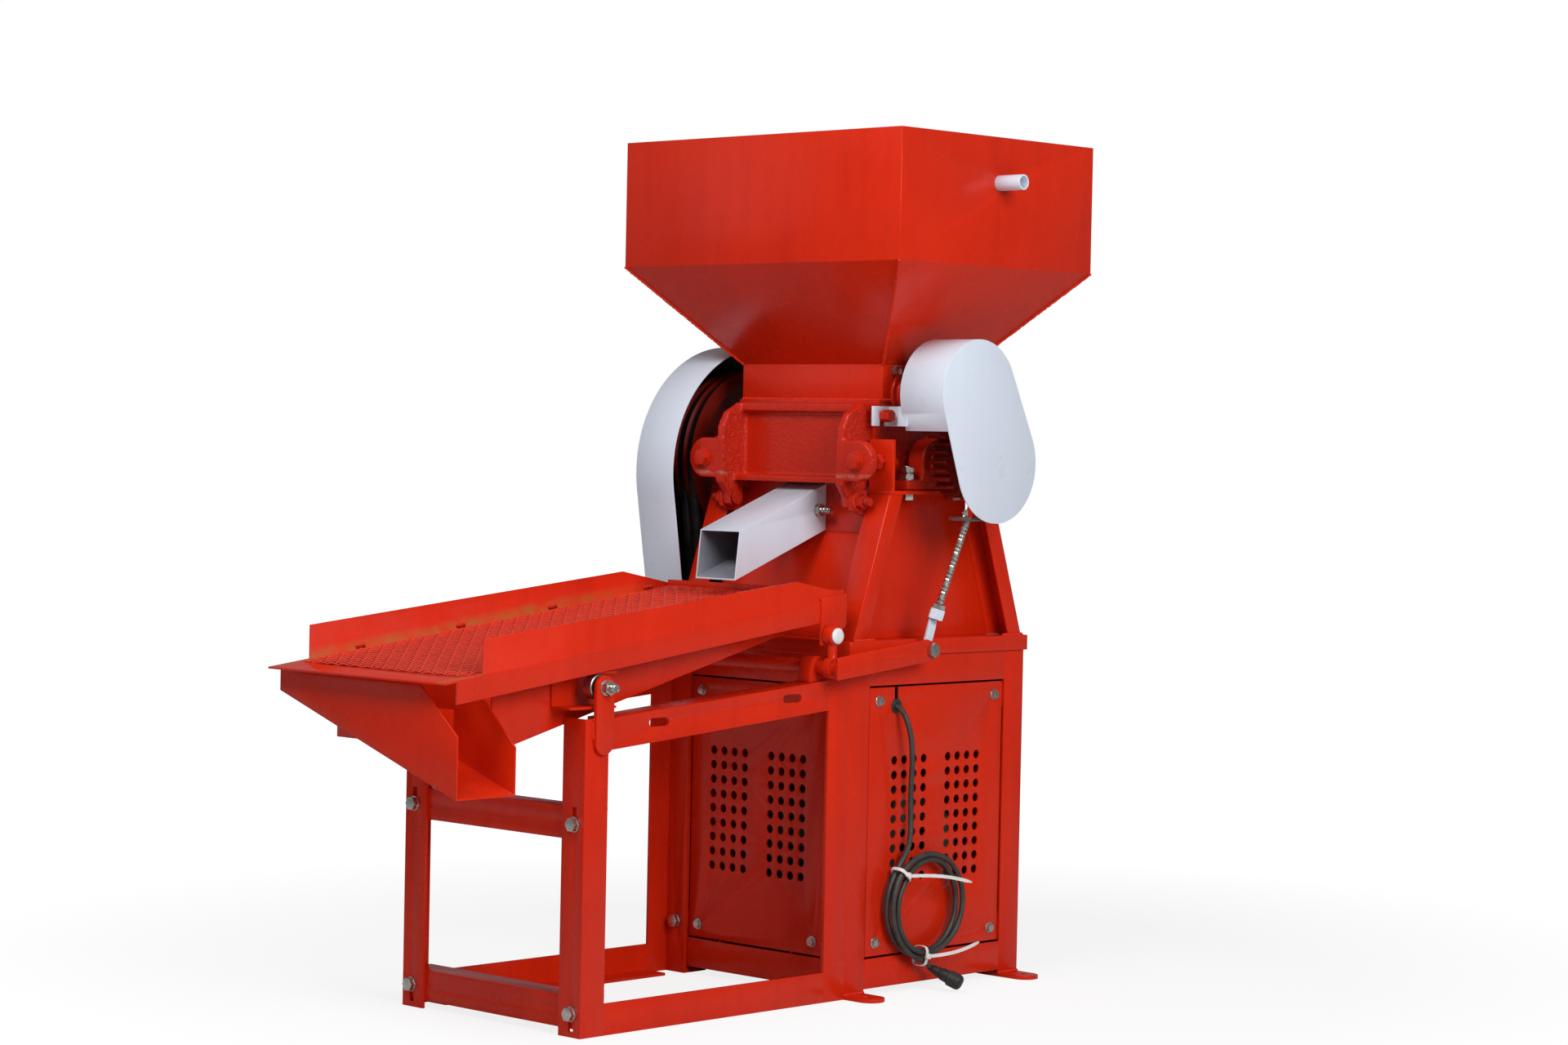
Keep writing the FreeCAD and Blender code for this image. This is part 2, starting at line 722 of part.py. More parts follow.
def top_shelves():
    """Flat shelves for the bearings, with the upright tabs that hold the cover bolts."""
    plate = block("shelf_plate", ("head_half_width", half_width), ("-leg_head_y", "leg_head_y"),
                  ("shelf_level - shelf_wall", "shelf_level"))
    lip = block("shelf_lip", ("head_half_width", "head_half_width + shelf_wall"),
                ("-head_half_depth", "head_half_depth"),
                ("shelf_level - 30", "shelf_level"))
    tab = block("cover_tab", ("head_half_width", half_width), ("-cover_tab_y - shelf_wall", "-cover_tab_y"),
                ("shelf_level - shelf_wall", "cover_tab_top"))
    bore = rod("cover_tab_hole", "-Y", ("ear_x", "0", "main_shaft_level"), "7.5", "200")
    drills = [rod("shelf_drill", "+Z", ("pillow_x", y, "shelf_level - shelf_wall - 1"), "6",
                  "shelf_wall + 2")
              for y in ("-pillow_bolt_y", "pillow_bolt_y")]
    shelf = cut("shelf", fused("shelf_blank", [plate, lip, tab]), [bore] + drills)
    return keep("top_shelves", group("top_shelves", both_sides(shelf)))


def inner_hood():
    """Sheets between the legs that close the space under the hulling head."""
    foot = "leg_foot_y - hood_inset"
    rise = "(head_low - tray_level)"
    head = "(%s - %s * %s)" % (foot, leg_lean, rise)
    front = prism("hood_front", "YZ_Plane", [
        ("-(%s)" % foot, "tray_level"), ("-(%s) + sheet_wall" % foot, "tray_level"),
        ("-%s + sheet_wall" % head, "head_low"), ("-" + head, "head_low")],
        "-(%s) + hood_inset" % half_width, "cabinet_width - 2 * hood_inset")
    top = "(%s - %s * (%s - tray_level))" % (foot, leg_lean, leg_top)
    side = prism("hood_side", "YZ_Plane", [
        ("-(%s)" % foot, "tray_level"), (foot, "tray_level"), (top, leg_top), ("-" + top, leg_top)],
        half_width + " - hood_inset - sheet_wall", "sheet_wall")
    return keep("inner_hood", fused("inner_hood", both_ends(front) + both_sides(side)))


# Bearings and shafts
def pillow_blocks():
    level = "main_shaft_level"
    base = block("pillow_base", ("pillow_x - 17", "pillow_x + 17"),
                 ("-pillow_bolt_y - 19", "pillow_bolt_y + 19"),
                 ("shelf_level", "shelf_level + 14"))
    housing = rod("pillow_housing", "+X", ("pillow_x - 14", "0", level), "34", "28")
    insert = rod("pillow_insert", "+X", ("pillow_x - 18", "0", level), "19", "36")
    pedestal = block("pillow_pedestal", ("pillow_x - 12", "pillow_x + 12"), ("-33", "33"),
                     ("shelf_level + 10", level))
    bore = rod("pillow_bore", "+X", ("pillow_x - 30", "0", level), "main_shaft_radius + running_clearance",
               "60")
    under = block("pillow_under", ("pillow_x - 30", "pillow_x + 30"), ("-60", "60"),
                  ("shelf_level - 20", "shelf_level"))
    drill = [rod("pillow_drill", "+Z", ("pillow_x", y, "shelf_level - 1"), "6.5", "30")
             for y in ("-pillow_bolt_y", "pillow_bolt_y")]
    blank = fused("pillow_blank", [base, housing, insert, pedestal])
    return keep("pillow_blocks", group("pillow_blocks", both_sides(cut("pillow", blank,
                                                                       [bore, under] + drill))))


def main_shaft_parts():
    level = "main_shaft_level"
    left = "pulley_x - pulley_width / 2 - 6"
    keep("main_shaft", rod("main_shaft", "+X", (left, "0", level), "main_shaft_radius",
                           "eccentric_x + eccentric_width + 5 - (%s)" % left))
    reach = "(head_half_width - side_wall - 4)"
    core = rod("drum_core", "+X", ("-" + reach, "0", level), "roller_radius - 7", "2 * " + reach)
    bore = rod("drum_bore", "+X", ("-%s - 1" % reach, "0", level), "main_shaft_radius",
               "2 * %s + 2" % reach)
    bars = []
    for number in range(8):
        bar = block("drum_bar", ("-" + reach, reach), ("-5", "5"), ("roller_radius - 12", "roller_radius"))
        bar.Placement = FreeCAD.Placement(FreeCAD.Vector(), FreeCAD.Rotation(FreeCAD.Vector(1, 0, 0), 0))
        bar.setExpression("Placement.Base.x", linked("-" + reach))
        turn = math.radians(45 * number)
        spin = FreeCAD.Rotation(FreeCAD.Vector(1, 0, 0), 45 * number)
        bar.Placement = FreeCAD.Placement(FreeCAD.Vector(), spin)
        bar.setExpression("Placement.Base.y", linked("-5 * %.9f - (roller_radius - 12) * %.9f"
                                                     % (math.cos(turn), math.sin(turn))))
        bar.setExpression("Placement.Base.z", linked("%s - 5 * %.9f + (roller_radius - 12) * %.9f"
                                                     % (level, math.sin(turn), math.cos(turn))))
        bars.append(bar)
    keep("hulling_roller", cut("hulling_roller", fused("drum_blank", [core] + bars), [bore]))
    pulley("main_pulley", "main_pulley_radius", "main_shaft_radius", level)
    disc = rod("eccentric_disc", "+X", ("eccentric_x", "eccentric_throw", level), "eccentric_radius",
               "eccentric_width")
    hole = rod("eccentric_bore", "+X", ("eccentric_x - 1", "0", level), "main_shaft_radius",
               "eccentric_width + 2")
    keep("eccentric", cut("eccentric", disc, [hole]))


def feed_centre():
    """The feed shaft stands one gear centre distance from the main shaft."""
    distance = size("gear_module") * (size("main_teeth") + size("feed_teeth")) / 2
    rise = math.sqrt(distance ** 2 - size("feed_offset") ** 2)
    return FreeCAD.Vector(0, size("feed_offset"), size("main_shaft_level") + rise)


feed_level = ("(main_shaft_level + sqrt((gear_module * (main_teeth + feed_teeth) / 2)^2"
              " - feed_offset^2))")


def feed_parts():
    level = feed_level
    reach = "(head_half_width - side_wall - 3)"
    keep("feed_shaft", rod("feed_shaft", "+X", ("-neck_half_width - 28", "feed_offset", level),
                           "feed_shaft_radius", "neck_half_width + 28 + gear_x + gear_width + 4"))
    core = rod("feed_core", "+X", ("-" + reach, "feed_offset", level), "feed_roller_radius", "2 * " + reach)
    bore = rod("feed_bore", "+X", ("-%s - 1" % reach, "feed_offset", level), "feed_shaft_radius",
               "2 * %s + 2" % reach)
    flutes = []
    for number in range(6):
        turn = math.radians(60 * number)
        flutes.append(rod("feed_flute", "+X", (
            "-%s - 1" % reach, "feed_offset + (feed_roller_radius + 2) * %.9f" % math.cos(turn),
            "%s + (feed_roller_radius + 2) * %.9f" % (level, math.sin(turn))), "8", "2 * %s + 2" % reach))
    keep("feed_roller", cut("feed_roller", core, [bore] + flutes))
    hub = rod("feed_hub", "+X", ("neck_half_width", "feed_offset", level), "25", "18")
    flange = rod("feed_flange", "+X", ("neck_half_width", "feed_offset", level), "33", "6")
    hole = rod("feed_hub_bore", "+X", ("neck_half_width - 1", "feed_offset", level),
               "feed_shaft_radius + running_clearance", "30")
    keep("feed_bearings", group("feed_bearings", both_sides(cut("feed_bearing",
                                                                fused("feed_hub_blank", [hub, flange]),
                                                                [hole]))))


def gear_outline(teeth, centre, phase, x):
    """A closed spur gear wire: involute flanks by a few points each, with backlash."""
    module = size("gear_module")
    pitch = module * teeth / 2
    base = pitch * math.cos(math.radians(20))
    root = pitch - 1.25 * module
    tip = pitch + module
    roll = math.tan(math.radians(20)) - math.radians(20)
    half = math.pi / (2 * teeth) - 0.25 / pitch
    points = []
    for tooth in range(teeth):
        middle = phase + 2 * math.pi * tooth / teeth
        flank = [(root, half + roll)]
        for step in range(5):
            radius = max(base, root) + (tip - max(base, root)) * step / 4
            angle = math.acos(min(1, base / radius))
            flank.append((radius, half + roll - (math.tan(angle) - angle)))
        points += [(radius, middle - turn) for radius, turn in flank]
        points += [(radius, middle + turn) for radius, turn in reversed(flank)]
    corners = [FreeCAD.Vector(x, centre.y + radius * math.cos(turn), centre.z + radius * math.sin(turn))
               for radius, turn in points]
    return Part.makePolygon(corners + corners[:1])


def gear(label, teeth, centre, phase, bore):
    wheel = document.addObject("Part::Feature", label + "_blank")
    x = size("gear_x")
    face = Part.Face(gear_outline(teeth, centre, phase, x))
    wheel.Shape = face.extrude(FreeCAD.Vector(size("gear_width"), 0, 0))
    middle_y = "0" if centre.y == 0 else "feed_offset"
    level = "main_shaft_level" if centre.y == 0 else feed_level
    hole = rod(label + "_bore", "+X", ("gear_x - 1", middle_y, level), bore, "gear_width + 2")
    return keep(label, cut(label, wheel, [hole]))


def gears():
    low = FreeCAD.Vector(0, 0, size("main_shaft_level"))
    high = feed_centre()
    aim = math.atan2(high.z - low.z, high.y - low.y)
    feed_teeth = int(size("feed_teeth"))
    gear("main_gear", int(size("main_teeth")), low, aim, "main_shaft_radius")
    gear("feed_gear", feed_teeth, high, aim + math.pi + math.pi / feed_teeth, "feed_shaft_radius")


# Hulling head
def head_body():
    """The cast head: side walls, round chamber, inlet above and sloping outlet to the front."""
    inner = "(head_half_width - side_wall)"
    level = "main_shaft_level"
    blank = block("head_block", ("-head_half_width", "head_half_width"),
                  ("-head_half_depth", "head_half_depth"),
                  ("head_low", "head_top"))
    flange = block("head_flange", ("-neck_half_width", "neck_half_width"),
                   ("-head_half_depth", "head_half_depth"),
                   ("head_top - 8", "head_top"))
    lug = prism("head_lug", "YZ_Plane", [
        ("-hinge_y - 13", "hinge_z - 12"), ("-head_half_depth + 2", "hinge_z - 26"),
        ("-head_half_depth + 2", "hinge_z + 16"), ("-hinge_y - 6", "hinge_z + 13"),
        ("-hinge_y - 13", "hinge_z + 6")],
        "cover_half_width + 0.4", "head_half_width - cover_half_width - 0.4")
    chamber = rod("chamber", "+X", ("-" + inner, "0", level), "chamber_radius", "2 * " + inner)
    inlet = block("inlet", ("-" + inner, inner), ("-74", "20"), (level, "head_top + 1"))
    front = block("front_opening", ("-" + inner, inner), ("-head_half_depth - 1", "-40"),
                  ("main_shaft_level - 27", "cover_top - 11"))
    top = "(chute_mouth_z + chute_height + chute_slope * (chute_mouth_y - head_half_depth))"
    outlet = prism("outlet", "YZ_Plane", [
        ("-head_half_depth - 1", top + " - 3"), ("-head_half_depth - 1", top + " - chute_height + 3"),
        ("30", "head_low + 12 + 30 * chute_slope + 30"), ("60", level), ("0", level)],
        "-chute_half_width + 3", "2 * chute_half_width - 6")
    shaft_hole = rod("head_shaft_hole", "+X", ("-head_half_width - 10", "0", level),
                     "main_shaft_radius + 2",
                     "2 * head_half_width + 20")
    pin_hole = rod("head_pin_hole", "+X", ("-head_half_width - 10", "-hinge_y", "hinge_z"), "6.3",
                   "2 * head_half_width + 20")
    groove = rod("feed_shaft_groove", "+X", ("-neck_half_width - 10", "feed_offset", feed_level),
                 "feed_shaft_radius + 1.5", "2 * neck_half_width + 20")
    body = cut("head_body", fused("head_blank", [blank, flange] + both_sides(lug)),
               [chamber, inlet, front, outlet, shaft_hole, pin_hole, groove])
    return keep("head_body", body)


def front_cover():
    """The cast front cover: two cheeks with ears, a recessed panel between lips."""
    side = "YZ_Plane"
    cheek = prism("cheek", side, [
        ("-head_half_depth", "cover_top"), ("-head_half_depth - 20", "cover_top"),
        ("-cover_front_y + 12", "cover_top - 14"), ("-cover_front_y + 2", "cover_top - 32"),
        ("-cover_front_y", "cover_top - 50"), ("-cover_front_y", "hinge_z + 22"),
        ("-hinge_y - 14", "hinge_z + 4"), ("-hinge_y - 12", "hinge_z - 9"), ("-hinge_y", "hinge_z - 14"),
        ("-hinge_y + 12", "hinge_z - 9"), ("-hinge_y + 15", "hinge_z + 8"),
        ("-head_half_depth", "hinge_z + 30")],
        "cover_half_width - 12", "12")
    ear = rod("ear_round", "-Y", ("ear_x", "-cover_front_y + ear_thick", "main_shaft_level"), "ear_radius",
              "ear_thick")
    bridge = block("ear_bridge", ("cover_half_width - 2", "ear_x"),
                   ("-cover_front_y", "-cover_front_y + ear_thick"),
                   ("main_shaft_level - ear_radius", "main_shaft_level + ear_radius"))
    bore = rod("ear_bore", "-Y", ("ear_x", "-100", "main_shaft_level"), "7.5", "100")
    panel = block("cover_panel", ("-cover_half_width", "cover_half_width"),
                  ("-head_half_depth - 12", "-head_half_depth"), ("main_shaft_level - 30", "cover_top - 6"))
    top_lip = block("cover_top_lip", ("-cover_half_width", "cover_half_width"),
                    ("-head_half_depth - 22", "-head_half_depth"), ("cover_top - 12", "cover_top"))
    low_lip = block("cover_low_lip", ("-cover_half_width + 1", "cover_half_width - 1"),
                    ("-head_half_depth - 34", "-head_half_depth"),
                    ("main_shaft_level - lip_drop", "main_shaft_level - lip_drop + 8"))
    pin_hole = rod("cover_pin_hole", "+X", ("-cover_half_width - 10", "-hinge_y", "hinge_z"), "6.3",
                   "2 * cover_half_width + 20")
    sides = both_sides(cheek) + both_sides(ear) + both_sides(bridge)
    blank = fused("cover_blank", sides + [panel, top_lip, low_lip])
    return keep("front_cover", cut("front_cover", blank, both_sides(bore) + [pin_hole]))


def cover_bolts():
    """Red hexagon bolts of the head: cover bolts with nuts, hinge pins, and the guard's bolt."""
    front = "-cover_front_y - 9"
    main = bolt("ear_bolt", "+Y", ("ear_x", front, "main_shaft_level"), "6.9", "cover_front_y - 72", "23",
                "9")
    members = []
    for name, y in (("nut_a", "-cover_front_y + ear_thick + 2"),
                    ("nut_b", "-cover_tab_y - shelf_wall - 11"),
                    ("nut_c", "-cover_tab_y + 0.2")):
        members.append(hexagon(name, "+Y", ("ear_x", y, "main_shaft_level"), "23", "10"))
    screw = fused("cover_bolt", [main] + members)
    pin = rod("hinge_pin", "+X", ("cover_half_width - 16", "-hinge_y", "hinge_z"), "6", "46")
    washer = rod("hinge_washer", "+X", ("head_half_width", "-hinge_y", "hinge_z"), "14", "2.5")
    nut = hexagon("hinge_nut", "+X", ("head_half_width + 2.5", "-hinge_y", "hinge_z"), "21", "9")
    head = rod("hinge_head", "+X", ("cover_half_width - 17", "-hinge_y", "hinge_z"), "10", "4.6")
    hinge = fused("cover_hinge", [pin, washer, nut, head])
    return keep("cover_bolts", group("cover_bolts", both_sides(screw) + both_sides(hinge)))


def hulling_screen():
    """The curved slotted screen under the roller."""
    reach = "(head_half_width - side_wall - 1)"
    outer = rod("screen_outer", "+X", ("-" + reach, "0", "main_shaft_level"), "chamber_radius - 0.3",
                "2 * " + reach)
    inner = rod("screen_inner", "+X", ("-%s - 1" % reach, "0", "main_shaft_level"), "chamber_radius - 4",
                "2 * %s + 2" % reach)
    above = block("screen_above", ("-200", "200"), ("-120", "120"),
                  ("main_shaft_level - 14", "main_shaft_level + 120"))
    slots = []
    for row in range(5):
        for column in range(7):
            slots.append(block("screen_slot", ("%d * 26 - 80" % column, "%d * 26 - 76" % column),
                               ("%d * 20 - 48" % row, "%d * 20 - 32" % row),
                               ("main_shaft_level - 120", "main_shaft_level - 30")))
    return keep("hulling_screen", cut("hulling_screen", outer, [inner, above] + slots))


def hulling_blade():
    reach = "(head_half_width - side_wall - 2)"
    return keep("hulling_blade", block("hulling_blade", ("-" + reach, reach),
                                       ("-head_half_depth", "-roller_radius - 3"),
                                       ("main_shaft_level - 6", "main_shaft_level + 6")))


# Hopper and neck
def tapered(name, low, high, half_low, half_high):
    """A four-sided taper between two levels."""
    wedge = document.addObject("Part::Wedge", name)
    bind(wedge, Xmin="-(%s)" % half_low[0], Xmax=half_low[0], Zmin="-(%s)" % half_low[1], Zmax=half_low[1])
    bind(wedge, X2min="-(%s)" % half_high[0], X2max=half_high[0], Z2min="-(%s)" % half_high[1],
         Z2max=half_high[1])
    bind(wedge, Ymin="0", Ymax="(%s) - (%s)" % (high, low))
    return place(wedge, "0", "0", low, FreeCAD.Rotation(FreeCAD.Vector(1, 0, 0), 90))


def hopper():
    wall = "hopper_wall"
    cone = tapered("cone_outer", "neck_top", "hopper_low", ("neck_half_width", "neck_half_depth"),
                   ("hopper_half_width", "hopper_half_depth"))
    box = block("hopper_box", ("-hopper_half_width", "hopper_half_width"),
                ("-hopper_half_depth", "hopper_half_depth"),
                ("hopper_low", "hopper_top"))
    cone_in = tapered("cone_inner", "neck_top", "hopper_low",
                      ("neck_half_width - 1.3 * " + wall, "neck_half_depth - 1.3 * " + wall),
                      ("hopper_half_width - " + wall, "hopper_half_depth - " + wall))
    box_in = block("hopper_box_in", ("-hopper_half_width + " + wall, "hopper_half_width - " + wall),
                   ("-hopper_half_depth + " + wall, "hopper_half_depth - " + wall),
                   ("hopper_low", "hopper_top + 1"))
    pipe_hole = rod("hopper_pipe_hole", "+X", ("hopper_half_width - 10", "0", "pipe_level"), "pipe_radius",
                    "20")
    keep("hopper", cut("hopper", fused("hopper_blank", [cone, box]), [cone_in, box_in, pipe_hole]))
    tube = rod("pipe_tube", "+X", ("hopper_half_width - hopper_wall - 2", "0", "pipe_level"), "pipe_radius",
               "44.5 + hopper_wall")
    bore = rod("pipe_bore", "+X", ("hopper_half_width - 10", "0", "pipe_level"), "pipe_radius - 2.5", "60")
    keep("hopper_pipe", cut("hopper_pipe", tube, [bore]))


def feed_neck():
    outer = block("neck_outer", ("-neck_half_width", "neck_half_width"),
                  ("-neck_half_depth", "neck_half_depth"),
                  ("head_top", "neck_top"))
    inner = block("neck_inner", ("-neck_half_width + sheet_wall", "neck_half_width - sheet_wall"),
                  ("-neck_half_depth + sheet_wall", "neck_half_depth - sheet_wall"),
                  ("head_top - 1", "neck_top + 1"))
    hole = rod("neck_shaft_hole", "+X", ("-neck_half_width - 5", "feed_offset", feed_level),
               "feed_shaft_radius + 1", "2 * neck_half_width + 10")
    bolt_hole = rod("neck_bolt_hole", "+X", ("neck_half_width - 6", "-neck_half_depth + 26",
                                             "neck_top - 9"), "4", "12")
    guard_hole = rod("neck_guard_hole", "+X", ("neck_half_width - 6", "-head_half_depth + 4",
                                               "gear_guard_skirt + 20"),
                     "5", "12")
    return keep("feed_neck", cut("feed_neck", outer, [inner, hole, guard_hole] + both_sides(bolt_hole)))


# Guards
def shell_solid(name, outer_face, inner_face, x_face, depth, wall):
    """A pan: a flat face with a skirt of the given depth, pointing away from x_face."""
    sign = 1 if depth > 0 else -1
    outer = outer_face.extrude(FreeCAD.Vector(depth, 0, 0))
    inner = inner_face.extrude(FreeCAD.Vector(depth, 0, 0))
    inner.translate(FreeCAD.Vector(sign * wall, 0, 0))
    pan = document.addObject("Part::Feature", name)
    pan.Shape = outer.cut(inner)
    pan.Placement.Base = FreeCAD.Vector(x_face, 0, 0)
    return pan


def gear_guard():
    wall = size("guard_wall")
    low = FreeCAD.Vector(0, 0, size("main_shaft_level"))
    high = feed_centre()
    low_radius = size("gear_guard_low_radius")
    high_radius = size("gear_guard_high_radius")
    depth = size("gear_guard_face") - size("gear_guard_back")
    pan = shell_solid("gear_guard_pan", two_circle_face(low, low_radius, high, high_radius),
                      two_circle_face(low, low_radius - wall, high, high_radius - wall),
                      size("gear_guard_face"), -depth, wall)
    window = block("gear_guard_window", ("gear_guard_back - 5", "gear_guard_face - guard_wall"),
                   ("-200", "200"),
                   ("main_shaft_level - 200", "gear_guard_skirt"))
    shell = cut("gear_guard_shell", pan, [window])
    front = "(feed_offset - gear_guard_high_radius + 6)"
    back = "-neck_half_depth + 14"
    heights = ("gear_guard_skirt + 6", "gear_guard_skirt + 33")
    bends = [
        block("guard_strip_end", ("gear_guard_back - 9", "gear_guard_back + 8"),
              (front, front + " + guard_wall + 1"), heights),
        block("guard_strip_bend", ("gear_guard_back - 9", "gear_guard_back - 8 + guard_wall"),
              (front, back), heights),
        block("guard_strip", ("neck_half_width", "gear_guard_back - 8 + guard_wall"),
              (back + " - guard_wall - 1", back), heights),
        block("guard_tab", ("neck_half_width", "neck_half_width + guard_wall + 1"),
              (front, back), heights),
    ]
    notch = block("guard_tab_notch", ("neck_half_width - 5", "neck_half_width + 10"),
                  ("-head_half_depth - 1.3", "-head_half_depth + 9.3"),
                  ("gear_guard_skirt", "gear_guard_skirt + 20"))
    bore = rod("guard_tab_bore", "+X", ("neck_half_width - 5", "-head_half_depth + 4",
                                        "gear_guard_skirt + 20"),
               "5.3", "20")
    return keep("gear_guard", cut("gear_guard", fused("gear_guard_blank", [shell] + bends), [bore, notch]))


def belt_guard():
    wall = size("guard_wall")
    high = FreeCAD.Vector(0, 0, size("belt_guard_high_level"))
    low = FreeCAD.Vector(0, 0, size("motor_shaft_level"))
    high_radius = size("belt_guard_high_radius")
    low_radius = size("belt_guard_low_radius")
    depth = size("belt_guard_edge") - size("belt_guard_face")
    pan = shell_solid("belt_guard_pan", two_circle_face(high, high_radius, low, low_radius),
                      two_circle_face(high, high_radius - wall, low, low_radius - wall),
                      size("belt_guard_face"), depth, wall)
    span = ("belt_guard_edge - 10", "-(%s)" % half_width)
    tabs = []
    for level, start, end in (("shelf_level - 60", "leg_head_y - 4", "belt_guard_high_radius - 2"),
                              ("top_rail_level + 12", "belt_guard_low_radius + 30",
                               "belt_guard_low_radius + 60")):
        tabs.append(block("belt_guard_tab", span, (start, end), (level, level + " + sheet_wall")))
    return keep("belt_guard", fused("belt_guard", [pan] + tabs))


# Discharge chute
chute_bolt_level = "(chute_mouth_z + chute_height / 2 + chute_slope * (chute_mouth_y - chute_bolt_y))"


def discharge_chute():
    """A square tube from under the cover, sloping down to the sieve."""
    rise = "chute_slope * (chute_mouth_y - head_half_depth)"
    wall = "guard_wall + 0.5"
    outer = prism("chute_outer", "YZ_Plane", [
        ("-chute_mouth_y", "chute_mouth_z"), ("-chute_mouth_y + 8", "chute_mouth_z + chute_height"),
        ("-head_half_depth", "chute_mouth_z + chute_height + %s - 3" % rise),
        ("-head_half_depth", "chute_mouth_z + %s" % rise)], "-chute_half_width", "2 * chute_half_width")
    inner = prism("chute_inner", "YZ_Plane", [
        ("-chute_mouth_y - 10", "chute_mouth_z + %s - 10 * chute_slope" % wall),
        ("-chute_mouth_y - 10", "chute_mouth_z + chute_height - 18 * chute_slope - %s" % wall),
        ("-head_half_depth + 10", "chute_mouth_z + chute_height + %s - 3 + 10 * chute_slope - (%s)" % (rise,
                                                                                                       wall)),
        ("-head_half_depth + 10", "chute_mouth_z + %s + 10 * chute_slope + (%s)" % (rise, wall))],
        "-chute_half_width + %s" % wall, "2 * chute_half_width - 2 * (%s)" % wall)
    bolt_hole = rod("chute_bolt_hole", "+X", ("chute_half_width - 6", "-chute_bolt_y", chute_bolt_level),
                    "5", "10")
    return keep("discharge_chute", cut("discharge_chute", outer, [inner, bolt_hole]))


# Stand
def rail_level(y):
    """The top of the stand's sloping rail at a distance in front of the middle."""
    return "(stand_rail_rear - stand_rail_slope * ((%s) - cabinet_depth / 2))" % y


def stand_legs():
    front = prism("front_leg", "XY_Plane", [
        (half_width, "-stand_front_y"), ("%s - angle_leg" % half_width, "-stand_front_y"),
        ("%s - angle_leg" % half_width, "-stand_front_y + angle_wall"),
        ("%s - angle_wall" % half_width, "-stand_front_y + angle_wall"),
        ("%s - angle_wall" % half_width, "-stand_front_y + angle_leg"),
        (half_width, "-stand_front_y + angle_leg")], "0", "stand_leg_top")
    rear = prism("rear_leg", "XY_Plane", [
        (half_width, "-(%s)" % half_depth), ("%s - angle_leg" % half_width, "-(%s)" % half_depth),
        ("%s - angle_leg" % half_width, "-(%s) - angle_wall" % half_depth),
        ("%s - angle_wall" % half_width, "-(%s) - angle_wall" % half_depth),
        ("%s - angle_wall" % half_width, "-(%s) - angle_leg" % half_depth),
        (half_width, "-(%s) - angle_leg" % half_depth)], "0", "stand_rear_top")
    slots = []
    for level in ("cross_bar_low - 3", "cross_bar_high + 29"):
        slots.append(block("leg_slot", ("%s - 22" % half_width, "%s - 13" % half_width),
                           ("-stand_front_y - 1", "-stand_front_y + angle_wall + 1"),
                           (level, level + " + 12")))
    for level in ("cross_bar_low + bar_bolt_rise", "cross_bar_high + bar_bolt_rise"):
        slots.append(rod("leg_drill", "+Y", (half_width + " - bar_bolt_inset", "-stand_front_y - 1", level),
                         "stand_bolt_radius", "angle_wall + 2"))
    front = cut("front_leg_cut", front, slots)
    drill = rod("rear_leg_drill", "+Y",
                (half_width + " - post_bolt_inset", "-(%s) - angle_wall - 1" % half_depth,
                                         "cross_bar_low + post_bolt_rise"), "stand_bolt_radius",
                                         "angle_wall + 2")
    rear = cut("rear_leg_cut", rear, [drill])
    return keep("stand_legs", group("stand_legs", both_sides(front) + both_sides(rear)))


def stand_side_rails():
    front = "stand_front_y - angle_leg"
    rear = half_depth + " + angle_leg"
    x = half_width + " - angle_wall"
    high_front = rail_level(front)
    high_rear = rail_level(rear)
    web = prism("rail_web", "YZ_Plane", [
        ("-(%s)" % front, high_front), ("-(%s)" % rear, high_rear),
        ("-(%s)" % rear, high_rear + " - angle_leg"), ("-(%s)" % front, high_front + " - angle_leg")],
        x, "angle_wall")
    flange = prism("rail_flange", "YZ_Plane", [
        ("-(%s)" % front, high_front), ("-(%s)" % rear, high_rear),
        ("-(%s)" % rear, high_rear + " - angle_wall"), ("-(%s)" % front, high_front + " - angle_wall")],
        half_width + " - angle_leg", "angle_leg")
    slots = []
    for middle in ("slot_front_y", "slot_rear_y"):
        level = rail_level(middle) + " - 10"
        slots.append(block("rail_slot", (x + " - 1", half_width + " + 1"),
                           ("-%s - 12" % middle, "-%s + 12" % middle),
                           (level + " - 11", level)))
        for shift in ("-12", "12"):
            slots.append(rod("rail_slot_end", "+X",
                             (x + " - 1", "-%s + %s" % (middle, shift), level + " - 5.5"),
                             "5.5", "angle_wall + 2"))
    top = cut("top_rail", fused("top_rail_blank", [web, flange]), slots)
    low = fused("low_rail", [
        block("low_web", (x, half_width), ("-(%s)" % front, "-(%s)" % rear), ("0", "angle_leg")),
        block("low_flange", (half_width + " - angle_leg", half_width), ("-(%s)" % front, "-(%s)" % rear),
              ("0", "angle_wall"))])
    return keep("stand_side_rails", group("stand_side_rails", both_sides(top) + both_sides(low)))


def stand_cross_bars():
    reach = half_width + " - angle_wall"
    bars = []
    for level in ("cross_bar_low", "cross_bar_high"):
        web = block("cross_web", ("-(%s)" % reach, reach),
                    ("-stand_front_y + angle_wall", "-stand_front_y + 2 * angle_wall"),
                    (level, level + " + angle_leg"))
        flange = block("cross_flange", ("-(%s)" % reach, reach),
                       ("-stand_front_y + angle_wall", "-stand_front_y + angle_wall + angle_leg"),
                       (level + " + angle_leg - angle_wall", level + " + angle_leg"))
        drill = rod("cross_drill", "+Y", (half_width + " - bar_bolt_inset", "-stand_front_y",
                                          level + " + bar_bolt_rise"),
                    "stand_bolt_radius", "3 * angle_wall")
        bars.append(cut("cross_bar_cut", fused("cross_bar", [web, flange]), both_sides(drill)))
    return keep("stand_cross_bars", group("stand_cross_bars", bars))


